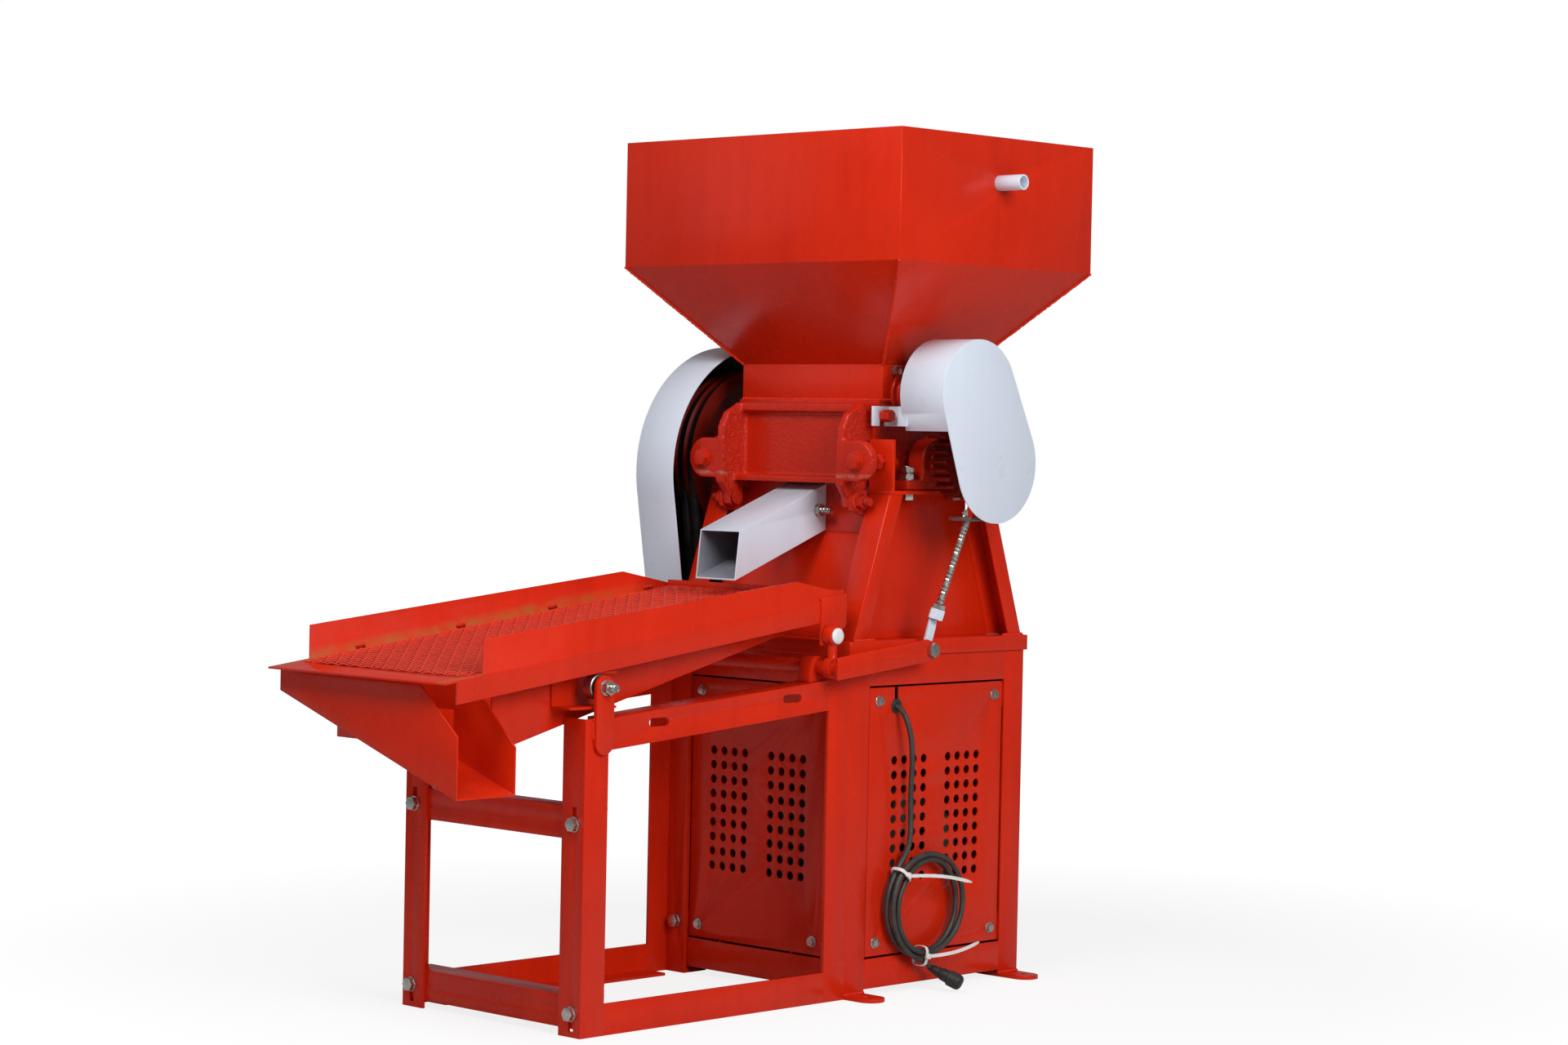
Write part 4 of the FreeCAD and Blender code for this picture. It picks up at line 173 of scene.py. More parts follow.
def mixedOut(tree, kind, share, first, second):
    # Two shaders mixed by a share and sent to the output
    mix = tree.nodes.new("ShaderNodeMixShader")
    out = tree.nodes.new(kind)
    for socket, value in zip(mix.inputs, (share, first.outputs[0], second.outputs[0])):
        tree.links.new(value, socket)
    tree.links.new(mix.outputs[0], out.inputs[0])


# Materials
def emptyMaterial(name):
    material = bpy.data.materials.new(name)
    material.use_nodes = True
    material.node_tree.nodes.clear()
    return material, material.node_tree


def newMaterial(name):
    material, tree = emptyMaterial(name)
    shader = tree.nodes.new("ShaderNodeBsdfPrincipled")
    out = tree.nodes.new("ShaderNodeOutputMaterial")
    tree.links.new(shader.outputs[0], out.inputs["Surface"])
    place = tree.nodes.new("ShaderNodeTexCoord").outputs["Object"]
    return material, tree, shader, place


def noiseOf(tree, place, scale, detail=2.0, rough=0.5, stretch=None):
    if stretch:
        place = add(tree, "ShaderNodeMapping", Vector=place, Scale=stretch).outputs[0]
    node = add(tree, "ShaderNodeTexNoise", Vector=place, Scale=scale, Detail=detail, Roughness=rough)
    return node.outputs["Fac"]


def ranged(tree, value, low, high, to=(0.0, 1.0)):
    limits = {"From_Min": low, "From_Max": high, "To_Min": to[0], "To_Max": to[1]}
    return add(tree, "ShaderNodeMapRange", Value=value, **limits).outputs[0]


def blended(tree, factor, first, second, mode="MIX"):
    node = tree.nodes.new("ShaderNodeMix")
    node.data_type = "RGBA"
    node.blend_type = mode
    setSocket(tree, node.inputs["Factor"], factor)
    setSocket(tree, node.inputs["A"], first)
    setSocket(tree, node.inputs["B"], second)
    return node.outputs["Result"]


def coloured(tree, shader, factor, first, second):
    tree.links.new(blended(tree, factor, first, second), shader.inputs["Base Color"])


def roughened(tree, shader, value, high, rough, spread):
    less, more = spread
    tree.links.new(ranged(tree, value, 0.3, high, (rough - less, rough + more)), shader.inputs["Roughness"])


def bumped(tree, shader, layers):
    # Bump layers of (height, distance, strength), one upon another
    normal = None
    for height, distance, strength in layers:
        node = add(tree, "ShaderNodeBump", Height=height, Distance=distance, Strength=strength)
        setSocket(tree, node.inputs["Normal"], normal)
        normal = node.outputs[0]
    tree.links.new(normal, shader.inputs["Normal"])


makeCamera()
makeLamps()
makeWorld()
makeFloor()
print("stage: camera, lamps and floor")

paintBase = {"peel": 0.3, "wave": 0.2, "rust": 0.0}
paints = {
    "redPaint": {"colour": (0.70, 0.024, 0.004, 1), "shade": (0.50, 0.014, 0.003, 1), "rough": 0.24,
                 "wave": 0.5, "rust": 0.05, "shine": 0.24},
    "castRed": {"colour": (0.62, 0.020, 0.004, 1), "shade": (0.34, 0.010, 0.003, 1), "rough": 0.26,
                "peel": 1.5, "rust": 0.02, "shine": 0.34},
    # wirePaint: the red paint made paler, as a painted highlight on the sieve's wires
    "wirePaint": {"colour": (0.80, 0.075, 0.040, 1), "shade": (0.66, 0.035, 0.015, 1), "rough": 0.3,
                  "shine": 0.6},
    # darkRed: the red paint darkened as painted shade, for parts deep inside the guards and the head
    "darkRed": {"colour": (0.24, 0.010, 0.005, 1), "shade": (0.09, 0.006, 0.004, 1), "rough": 0.34,
                "peel": 0.8, "rust": 0.03, "shine": 0.3},
    "whitePaint": {"colour": (0.70, 0.76, 0.86, 1), "shade": (0.63, 0.69, 0.79, 1), "rough": 0.3,
                   "peel": 0.25, "wave": 0.3, "shine": 0.34},
    # guardInside: near-black, painted shade for the deep inside of the belt guard
    "guardInside": {"colour": (0.012, 0.010, 0.011, 1), "shade": (0.022, 0.018, 0.018, 1), "rough": 0.5,
                    "peel": 0.4, "shine": 0.2},
    # chuteInside: a darker copy of the white paint, painted shade inside the discharge chute
    "chuteInside": {"colour": (0.24, 0.25, 0.29, 1), "shade": (0.15, 0.155, 0.18, 1), "rough": 0.4,
                    "wave": 0.3, "shine": 0.25},
    "motorPaint": {"colour": (0.10, 0.16, 0.14, 1), "shade": (0.05, 0.08, 0.07, 1), "rough": 0.5,
                   "peel": 0.6, "shine": 0.4},
}
rustColour = (0.12, 0.045, 0.018, 1)


def makePaint(name):
    look = {**paintBase, **paints[name]}
    material, tree, shader, place = newMaterial(name)
    blotch = ranged(tree, noiseOf(tree, place, 5.0, 4.0, 0.6), 0.35, 0.75)
    runs = ranged(tree, noiseOf(tree, place, 1.0, 3.0, 0.6, (34, 34, 2.6)), 0.45, 0.8)
    dull = addMath(tree, "ADD", times(tree, blotch, 0.45), times(tree, runs, 0.3))
    colour = blended(tree, dull, look["colour"], look["shade"])
    speck = ranged(tree, noiseOf(tree, place, 420.0, 2.0), 0.68, 0.78, (0.0, 0.25))
    colour = blended(tree, speck, colour, look["shade"])
    if look["rust"]:
        spots = add(tree, "ShaderNodeTexVoronoi", Vector=place, Scale=9.0, Randomness=1.0).outputs["Distance"]
        ragged = addMath(tree, "ADD", spots, times(tree, noiseOf(tree, place, 260.0, 3.0), 0.06))
        rust = ranged(tree, ragged, look["rust"], look["rust"] + 0.02, (0.85, 0.0))
        colour = blended(tree, rust, colour, rustColour)
    tree.links.new(colour, shader.inputs["Base Color"])
    grime = noiseOf(tree, place, 16.0, 5.0, 0.65)
    roughened(tree, shader, grime, 0.75, look["rough"], (0.06, 0.1))
    shader.inputs["Specular IOR Level"].default_value = look["shine"]
    layers = [(noiseOf(tree, place, 7.0, 1.0), 0.004, look["wave"] * 0.35),
              (noiseOf(tree, place, 300.0, 2.0), 0.0004, look["peel"] * 0.5)]
    if name == "castRed":
        layers.append(makeGrit(tree, shader, place, look))
    bumped(tree, shader, layers)
    return material


coverLip = {
    "level": 0.7005, "half": (0.0015, 0.0035), "front": -0.142, "fade": 0.004,
    "colour": (0.46, 0.20, 0.15, 1),
}


def makeGrit(tree, shader, place, look):
    # Sand-cast grit on the sides of a casting, and a pale, uneven band along the cover's lip
    facing = tree.nodes.new("ShaderNodeTexCoord").outputs["Normal"]
    sideways = addMath(tree, "ABSOLUTE", splitOf(tree, facing)["X"])
    gritty = times(tree, noiseOf(tree, place, 430.0, 3.0, 0.6), ranged(tree, sideways, 0.6, 0.9))
    colour = shader.inputs["Base Color"].links[0].from_socket
    colour = blended(tree, ranged(tree, gritty, 0.46, 0.6, (0.0, 0.55)), colour, look["shade"])
    split = splitOf(tree, place)
    level = addMath(tree, "ABSOLUTE", addMath(tree, "SUBTRACT", split["Z"], coverLip["level"]))
    front = coverLip["front"]
    paleBand = times(tree, ranged(tree, level, *coverLip["half"], (1.0, 0.0)),
                   ranged(tree, split["Y"], front, front + coverLip["fade"], (1.0, 0.0)))
    paleBand = times(tree, paleBand, ranged(tree, noiseOf(tree, place, 70.0, 4.0), 0.38, 0.6, (0.0, 0.75)))
    coloured(tree, shader, paleBand, colour, coverLip["colour"])
    return gritty, 0.0016, 0.9


metals = {
    "zincPlate": {"colour": (0.62, 0.62, 0.58, 1), "shade": (0.38, 0.38, 0.34, 1), "rough": 0.28,
                  "scratch": (400, 400, 400)},
    "turnedSteel": {"colour": (0.46, 0.46, 0.46, 1), "shade": (0.26, 0.25, 0.24, 1), "rough": 0.34,
                    "scratch": (1500, 60, 60)},
    "dullZinc": {"colour": (0.34, 0.33, 0.33, 1), "shade": (0.16, 0.15, 0.15, 1), "rough": 0.42,
                 "scratch": (200, 200, 200)},
}


def makeMetal(name):
    look = metals[name]
    material, tree, shader, place = newMaterial(name)
    stain = ranged(tree, noiseOf(tree, place, 90.0, 4.0, 0.6), 0.4, 0.75, (0.0, 0.8))
    coloured(tree, shader, stain, look["colour"], look["shade"])
    lines = noiseOf(tree, place, 1.0, 3.0, 0.7, look["scratch"])
    roughened(tree, shader, lines, 0.7, look["rough"], (0.08, 0.14))
    shader.inputs["Metallic"].default_value = 1.0
    bumped(tree, shader, [(lines, 0.0001, 0.3)])
    return material


plastics = {
    "cordRubber": {"colour": (0.030, 0.032, 0.028, 1), "shade": (0.055, 0.058, 0.050, 1), "rough": 0.46,
                   "grain": 500.0},
    "plugRubber": {"colour": (0.016, 0.016, 0.015, 1), "shade": (0.035, 0.035, 0.033, 1), "rough": 0.5,
                   "grain": 350.0},
    "beltRubber": {"colour": (0.014, 0.013, 0.013, 1), "shade": (0.04, 0.038, 0.036, 1), "rough": 0.7,
                   "grain": 200.0},
    "whiteNylon": {"colour": (0.84, 0.84, 0.82, 1), "shade": (0.74, 0.74, 0.71, 1), "rough": 0.38,
                   "grain": 700.0},
}


def makePlastic(name):
    look = plastics[name]
    material, tree, shader, place = newMaterial(name)
    worn = ranged(tree, noiseOf(tree, place, 60.0, 4.0, 0.6), 0.4, 0.75)
    coloured(tree, shader, worn, look["colour"], look["shade"])
    grain = noiseOf(tree, place, look["grain"], 3.0)
    roughened(tree, shader, grain, 0.7, look["rough"], (0.06, 0.1))
    bumped(tree, shader, [(grain, 0.0002, 0.4)])
    return material


trayBurn = {
    "slope": 0.1308, "level": 0.56645, "low": 0.007, "high": 0.020, "wave": 0.010, "wall": (0.150, 0.160),
    "skin": (0.1655, 0.1665), "rear": (-0.42, -0.22), "colour": (0.33, 0.15, 0.03, 1),
}


def makeTrayPaint():
    # The red paint with the scorched strip that tack welding left beside the tray's walls
    burnt = makePaint("redPaint")
    burnt.name = "trayPaint"
    tree = burnt.node_tree
    shader = next(node for node in tree.nodes if node.type == "BSDF_PRINCIPLED")
    place = tree.nodes.new("ShaderNodeTexCoord").outputs["Object"]
    split = splitOf(tree, place)
    fall = times(tree, split["Y"], trayBurn["slope"])
    above = addMath(tree, "SUBTRACT", addMath(tree, "SUBTRACT", split["Z"], fall), trayBurn["level"])
    wavy = addMath(tree, "ADD", above, times(tree, noiseOf(tree, place, 26.0, 3.0), trayBurn["wave"]))
    across = addMath(tree, "ABSOLUTE", split["X"])
    limits = [
        ranged(tree, wavy, trayBurn["low"], trayBurn["high"], (1.0, 0.0)),
        ranged(tree, across, *trayBurn["wall"]),
        ranged(tree, above, -0.002, 0.001),
        ranged(tree, across, *trayBurn["skin"], (1.0, 0.0)),
        ranged(tree, noiseOf(tree, place, 40.0, 4.0), 0.3, 0.6, (0.15, 0.8)),
        ranged(tree, split["Y"], *trayBurn["rear"], (1.0, 0.0)),
    ]
    mask = 1.0
    for limit in limits:
        mask = times(tree, limit, mask)
    colour = shader.inputs["Base Color"].links[0].from_socket
    coloured(tree, shader, mask, colour, trayBurn["colour"])
    return burnt


material = {name: makePaint(name) for name in paints}
material["trayPaint"] = makeTrayPaint()
material.update({name: makeMetal(name) for name in metals})
material.update({name: makePlastic(name) for name in plastics})
slotLook = {
    "red_paint": "redPaint", "cast_red": "castRed", "white_paint": "whitePaint", "zinc": "zincPlate",
    "steel": "turnedSteel", "motor_paint": "motorPaint", "belt_rubber": "beltRubber",
    "cord_rubber": "cordRubber", "plug_plastic": "plugRubber", "nylon": "whiteNylon",
}
slotOf = {part["node"]: part["material_slot"] for part in frame["record"]["subparts"]}
bodyOf = {node: body for body, nodes in frame["record"]["behaviour"]["bodies"].items() for node in nodes}
for node, thing in frame["nodes"].items():
    thing.data.materials.clear()
    thing.data.materials.append(material[slotLook[slotOf[node]]])
print("stage: materials")


# Mesh helpers
def meshOf(shape, outward=False):
    # A bmesh as a plain mesh, its faces turned outward where asked
    if outward:
        bmesh.ops.recalc_face_normals(shape, faces=shape.faces)
    mesh = bpy.data.meshes.new("form")
    shape.to_mesh(mesh)
    shape.free()
    return mesh


def circle(shape, radius, level, segments):
    angles = [2 * math.pi * step / segments for step in range(segments)]
    return [shape.verts.new((radius * math.cos(turn), radius * math.sin(turn), level)) for turn in angles]


def bridged(shape, rings, closed=False):
    # Faces between rings of corners, and a face on each end unless the rings close on themselves
    for low, high in zip(rings, rings[1:] + rings[:1] if closed else rings[1:]):
        for step, corner in enumerate(low):
            after = (step + 1) % len(low)
            shape.faces.new((corner, low[after], high[after], high[step]))
    if not closed:
        shape.faces.new(list(reversed(rings[0])))
        shape.faces.new(rings[-1])


def finished(name, mesh, replaced=(), look=None, smooth=32, body="machine", slot=None):
    # Makes a mesh a piece; where it stands for CAD nodes, they say its body and its usual slot
    if replaced:
        body = bodyOf[replaced[0]]
        slot = slot or slotOf[replaced[0]]
    slot = slot or "red_paint"
    mesh.materials.clear()
    mesh.materials.append(material[look or slotLook[slot]])
    mesh.polygons.foreach_set("use_smooth", [True] * len(mesh.polygons))
    if smooth:
        mesh.set_sharp_from_angle(angle=math.radians(smooth))
    piece = placed(name, mesh)
    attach(piece, body)
    if replaced:
        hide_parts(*replaced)


def evaluated(piece):
    # The piece's mesh with its modifiers applied; the piece itself is removed
    bpy.context.view_layer.update()
    graph = bpy.context.evaluated_depsgraph_get()
    mesh = bpy.data.meshes.new_from_object(piece.evaluated_get(graph))
    bpy.data.objects.remove(piece)
    return mesh


def cleanCopy(node):
    # The CAD node's mesh with its flat faces whole again
    shape = bmesh.new()
    shape.from_mesh(frame["nodes"][node].data)
    bmesh.ops.remove_doubles(shape, verts=shape.verts, dist=1e-6)
    bmesh.ops.dissolve_limit(shape, angle_limit=math.radians(0.6), verts=shape.verts, edges=shape.edges)
    return meshOf(shape)


def softened(node, name, radius=0.0008, look=None):
    # A copy of a CAD node with its sharp edges rounded, as on real sheet and bar
    holder = placed("holder", cleanCopy(node))
    bevel = holder.modifiers.new("edges", "BEVEL")
    bevel.width = radius
    bevel.segments = 2
    bevel.limit_method = "ANGLE"
    bevel.angle_limit = math.radians(40)
    bevel.use_clamp_overlap = True
    finished(name, evaluated(holder), [node], look)


castSkin = {"coarse": 160, "share": 0.4, "fine": 460, "flat": 0.45, "sides": 1.9}


def cast(node, name, voxel, grain):
    # A CAD node as a sand casting: soft corners, and an uneven skin that is coarser on the sides
    holder = placed("holder", cleanCopy(node))
    skin = holder.modifiers.new("skin", "REMESH")
    skin.mode = "VOXEL"
    skin.voxel_size = voxel
    soft = holder.modifiers.new("soft", "SMOOTH")
    soft.factor = 0.5
    soft.iterations = 4
    mesh = evaluated(holder)
    moved = []
    for vertex in mesh.vertices:
        coarse = noise.noise(vertex.co * castSkin["coarse"]) * castSkin["share"]
        grit = coarse + noise.noise(vertex.co * castSkin["fine"])
        uneven = castSkin["flat"] + castSkin["sides"] * abs(vertex.normal.x) ** 3
        moved.extend(vertex.co + vertex.normal * grit * grain * uneven)
    mesh.vertices.foreach_set("co", moved)
    finished(name, mesh, [node], smooth=0)


def turnTo(aim):
    return aim.to_track_quat("Z", "Y").to_matrix().to_4x4()


def turnedMesh(profile, place, aim, segments=48):
    # A profile of (along, radius) points spun about an axis through place
    shape = bmesh.new()
    bridged(shape, [circle(shape, radius, along, segments) for along, radius in profile])
    matrix = Matrix.Translation(Vector(place)) @ turnTo(Vector(aim))
    bmesh.ops.transform(shape, matrix=matrix, verts=shape.verts)
    return meshOf(shape, outward=True)


def joined(meshes):
    shape = bmesh.new()
    for mesh in meshes:
        shape.from_mesh(mesh)
    return meshOf(shape)


def boxMesh(low, high, radius=0.0015, segments=3):
    # A block with rounded edges
    shape = bmesh.new()
    bmesh.ops.create_cube(shape, size=1)
    middle = (Vector(low) + Vector(high)) / 2
    spread = Vector(high) - Vector(low)
    place = Matrix.Translation(middle) @ Matrix.Diagonal((*spread, 1))
    bmesh.ops.transform(shape, matrix=place, verts=shape.verts)
    bmesh.ops.bevel(shape, geom=shape.edges[:], offset=radius, segments=segments, profile=0.5, affect="EDGES")
    return meshOf(shape)


# Geometry Nodes
def geometryTree(name, **inputs):
    # An empty tree and the outputs of its named inputs, each given as its socket's kind
    tree = bpy.data.node_groups.new(name, "GeometryNodeTree")
    face = tree.interface
    face.new_socket("Geometry", in_out="INPUT", socket_type="NodeSocketGeometry")
    for label, kind in inputs.items():
        face.new_socket(label, in_out="INPUT", socket_type="NodeSocket" + kind)
    face.new_socket("Geometry", in_out="OUTPUT", socket_type="NodeSocketGeometry")
    return tree, tree.nodes.new("NodeGroupInput").outputs


def geometry(tree, kind, **inputs):
    return add(tree, "GeometryNode" + kind, **inputs).outputs[0]


def closeTree(tree, given, *parts):
    # Ends a tree with real geometry and its surface
    join = tree.nodes.new("GeometryNodeJoinGeometry")
    for part in parts:
        tree.links.new(part, join.inputs[0])
    real = geometry(tree, "RealizeInstances", Geometry=join.outputs[0])
    coat = geometry(tree, "SetMaterial", Geometry=real, Material=given["Surface"])
    tree.links.new(coat, tree.nodes.new("NodeGroupOutput").inputs[0])
    return tree


def grown(tree, mesh=None, **values):
    # The mesh that a tree makes from its inputs, and from a base mesh where it needs one
    holder = placed("holder", mesh or bpy.data.meshes.new("none"))
    build = holder.modifiers.new("build", "NODES")
    build.node_group = tree
    sockets = {item.name: item.identifier for item in tree.interface.items_tree if item.in_out == "INPUT"}
    for label, value in values.items():
        build[sockets[label]] = value
    return evaluated(holder)


def pointMesh(rows):
    # Loose points that carry their aim and size
    places, aims, sizes = zip(*rows)
    mesh = bpy.data.meshes.new("points")
    mesh.from_pydata([tuple(place) for place in places], [], [])
    for label, vectors in (("aim", aims), ("size", sizes)):
        layer = mesh.attributes.new(label, "FLOAT_VECTOR", "POINT")
        layer.data.foreach_set("vector", [number for row in vectors for number in row])
    return mesh


def makeSetTree():
    # Puts a copy of a prototype on each point, along its aim and at its size
    tree, given = geometryTree("placeCopies", Prototype="Object", Surface="Material")
    aim, size = (
        add(tree, "GeometryNodeInputNamedAttribute", {"data_type": "FLOAT_VECTOR"}, Name=label).outputs[0]
        for label in ("aim", "size"))
    turn = add(tree, "FunctionNodeAlignRotationToVector", {"axis": "Z"}, Vector=aim)
    source = add(tree, "GeometryNodeObjectInfo", Object=given["Prototype"])
    copies = geometry(tree, "InstanceOnPoints", Points=given["Geometry"],
                      Instance=source.outputs["Geometry"], Rotation=turn.outputs[0], Scale=size)
    return closeTree(tree, given, copies)


def makeThreadTree():
    # A screw thread along +Z: a core with a helical ridge
    tree, given = geometryTree(
        "screwThread", Radius="Float", Pitch="Float", Length="Float", Surface="Material")
    radius, pitch, length = (given[label] for label in ("Radius", "Pitch", "Length"))
    turns = addMath(tree, "DIVIDE", length, pitch)
    reach = addMath(tree, "SUBTRACT", radius, times(tree, pitch, 0.42))
    spiral = geometry(tree, "CurveSpiral", Resolution=20, Rotations=turns, Start_Radius=reach,
                      End_Radius=reach, Height=length)
    ridge = geometry(tree, "CurvePrimitiveCircle", Resolution=4, Radius=times(tree, pitch, 0.46))
    helix = geometry(tree, "CurveToMesh", Curve=spiral, Profile_Curve=ridge, Fill_Caps=True)
    core = geometry(tree, "MeshCylinder", Vertices=24, Radius=reach, Depth=length)
    raised = geometry(tree, "Transform", Geometry=core, Translation=vector(tree, Z=times(tree, length, 0.5)))
    return closeTree(tree, given, helix, raised)


def makeWeldTree():
    # A row of overlapping, slightly uneven weld scales along the edges of a mesh
    tree, given = geometryTree("weldBead", Radius="Float", Step="Float", Seed="Int", Surface="Material")
    mesh, radius, stride, seed = (given[label] for label in ("Geometry", "Radius", "Step", "Seed"))
    line = geometry(tree, "MeshToCurve", Mesh=mesh)
    spots = add(tree, "GeometryNodeCurveToPoints", {"mode": "LENGTH"}, Curve=line, Length=stride)
    scale = geometry(tree, "MeshIcoSphere", Radius=radius, Subdivisions=2)
    uneven = add(tree, "FunctionNodeRandomValue", {"data_type": "FLOAT_VECTOR"}, Seed=seed)
    uneven.inputs[0].default_value = (0.7, 0.8, 0.55)
    uneven.inputs[1].default_value = (1.25, 1.2, 0.85)
    copies = geometry(tree, "InstanceOnPoints", Points=spots.outputs["Points"], Instance=scale,
                      Rotation=spots.outputs["Rotation"], Scale=uneven.outputs[0])
    return closeTree(tree, given, copies)


def makeMeshTree():
    # Crimped square wire mesh: wires across and along that pass over and under one another
    tree, given = geometryTree(
        "wireMesh", Columns="Int", Rows="Int", Pitch="Float", Wire="Float", Crimp="Float",
        Surface="Material")
    columns, rows, pitch, wire, height = (
        given[label] for label in ("Columns", "Rows", "Pitch", "Wire", "Crimp"))
    profile = geometry(tree, "CurvePrimitiveCircle", Resolution=6, Radius=times(tree, wire, 0.5))
    stride = times(tree, pitch, 2)
    sets = []
    for axis, other, along, across, lift in (("X", "Y", columns, rows, 1), ("Y", "X", rows, columns, -1)):
        line = geometry(tree, "MeshLine", Count=along, Offset=vector(tree, **{axis: pitch}))
        index = tree.nodes.new("GeometryNodeInputIndex").outputs[0]
        for odd in (0, 1):
            parity = addMath(tree, "MODULO", addMath(tree, "ADD", index, odd), 2)
            swing = times(tree, addMath(tree, "SUBTRACT", parity, 0.5), lift)
            crimp = vector(tree, Z=times(tree, swing, height))
            bent = geometry(tree, "SetPosition", Geometry=line, Offset=crimp)
            curve = geometry(tree, "MeshToCurve", Mesh=bent)
            solid = geometry(tree, "CurveToMesh", Curve=curve, Profile_Curve=profile)
            half = addMath(tree, "FLOOR", times(tree, addMath(tree, "SUBTRACT", across, odd - 1), 0.5))
            first = vector(tree, **{other: times(tree, pitch, odd)})
            ladder = geometry(tree, "MeshLine", Count=half, Start_Location=first,
                              Offset=vector(tree, **{other: stride}))
            sets.append(geometry(tree, "InstanceOnPoints", Points=ladder, Instance=solid))
    return closeTree(tree, given, *sets)


setTree = makeSetTree()
threadTree = makeThreadTree()
weldTree = makeWeldTree()
meshTree = makeMeshTree()


# Cord: the free stretch, then loose turns held by two ties
cordRoute = [
    (0.158, -0.0835, 0.393), (0.177, -0.084, 0.388), (0.188, -0.083, 0.372), (0.192, -0.078, 0.348),
    (0.190, -0.073, 0.318), (0.186, -0.070, 0.288), (0.183, -0.067, 0.260), (0.183, -0.066, 0.234),
    (0.185, -0.068, 0.212), (0.184, -0.073, 0.192),
]
cordCoil = {
    "centre": (-0.033, 0.117), "start": 140, "end": 262, "turns": 3, "pointsPerTurn": 16,
    "lanes": [(0.1795, 0.0760), (0.1785, 0.0640), (0.1900, 0.0625), (0.1905, 0.0745), (0.1850, 0.0755)],
    "radius": 0.00375, "sway": 0.0012, "swing": 2.3,
}


def coilPoints():
    # Each turn moves over to the next lane of (x, radius), so no two strands meet
    lanes = cordCoil["lanes"]
    centreY, centreZ = cordCoil["centre"]
    sweep = cordCoil["turns"] * 360 + cordCoil["end"] - cordCoil["start"]
    count = int(sweep / 360 * cordCoil["pointsPerTurn"])
    points = []
    for step in range(count + 1):
        part = sweep / 360 * step / count
        lane = int(part)
        share = part - lane
        x = lanes[lane][0] * (1 - share) + lanes[lane + 1][0] * share
        radius = lanes[lane][1] * (1 - share) + lanes[lane + 1][1] * share
        angle = math.radians(cordCoil["start"] + 360 * part)
        radius += cordCoil["sway"] * math.sin(cordCoil["swing"] * angle + lane)
        points.append((x, centreY + radius * math.cos(angle), centreZ + radius * math.sin(angle)))
    return points


def nurbs(name, points, radius):
    curve = bpy.data.curves.new(name, "CURVE")
    curve.dimensions = "3D"
    curve.bevel_depth = radius
    curve.bevel_resolution = 4
    curve.resolution_u = 6
    spline = curve.splines.new("NURBS")
    spline.points.add(len(points) - 1)
    for knot, point in zip(spline.points, points):
        knot.co = (*point, 1)
    spline.order_u = 3
    spline.use_endpoint_u = True
    return placed(name, curve)


def lengthOf(curveObject):
    copy = placed("lineCopy", curveObject.data.copy())
    copy.data.bevel_depth = 0
    mesh = evaluated(copy)
    spots = [vertex.co for vertex in mesh.vertices]
    ends = (edge.vertices for edge in mesh.edges)
    return sum((spots[first] - spots[second]).length for first, second in ends)


cordEnd = [(0.188, -0.036, 0.040), (0.191, -0.030, 0.033)]
cordPoints = cordRoute + coilPoints() + cordEnd
cordPiece = nurbs("cordLine", cordPoints, cordCoil["radius"])
cordLength = lengthOf(cordPiece)
cordPiece.data.materials.append(material["cordRubber"])
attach(cordPiece, "machine")
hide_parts("power_cord", "cord_coil")
print("stage: cord, %.3f m" % cordLength)

# Sieve mesh
sieveMesh = {"pitch": 0.0115, "wire": 0.0014, "crimp": 0.0018, "margin": 0.0085}


def makeSieveMesh():
    low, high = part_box("sieve_mesh")
    slope = math.atan2(high.z - low.z - 0.0016, high.y - low.y)
    run = (high.y - low.y) / math.cos(slope)
    pitch = sieveMesh["pitch"]
    columns = int((high.x - low.x - 2 * sieveMesh["margin"]) / pitch) + 1
    rows = int(run / pitch)
    # The wires take the paler red, a painted highlight
    mesh = grown(meshTree, Columns=columns, Rows=rows, Pitch=pitch, Wire=sieveMesh["wire"],
                 Crimp=sieveMesh["crimp"], Surface=material["wirePaint"])
    start = Vector((-(columns - 1) * pitch / 2, low.y + 0.002, low.z + 0.0016))
    mesh.transform(Matrix.Translation(start) @ Matrix.Rotation(slope, 4, "X"))
    finished("wireMesh", mesh, ["sieve_mesh"], "wirePaint", 60)


makeSieveMesh()
print("stage: sieve mesh")


# Fasteners
def hexMesh(bottom=False, bore=0.0, segments=48):
    # A hexagon form, 1 across the flats and 1 high, its corners turned off at the ends
    cap = 0.49
    shape = bmesh.new()

    def side(level, fall):
        row = circle(shape, 1, level, segments)
        for step, corner in enumerate(row):
            angle = 2 * math.pi * step / segments
            reach = 0.5 / math.cos((angle % (math.pi / 3)) - math.pi / 6)
            corner.co.x *= reach
            corner.co.y *= reach
            corner.co.z += fall * max(0.0, reach - cap)
        return row

    rings = [circle(shape, cap, 0.0, segments)] if bottom else []
    rings += [side(0.0, 0.55 if bottom else 0.0), side(1.0, -0.55), circle(shape, cap, 1.0, segments)]
    if bore:
        rings += [circle(shape, bore + 0.06 * cap, 1.0, segments), circle(shape, bore, 0.93, segments)]
    bridged(shape, rings)
    return meshOf(shape, outward=True)


def threadMesh(radius, pitch, length):
    return grown(threadTree, Radius=radius, Pitch=pitch, Length=length, Surface=material["zincPlate"])


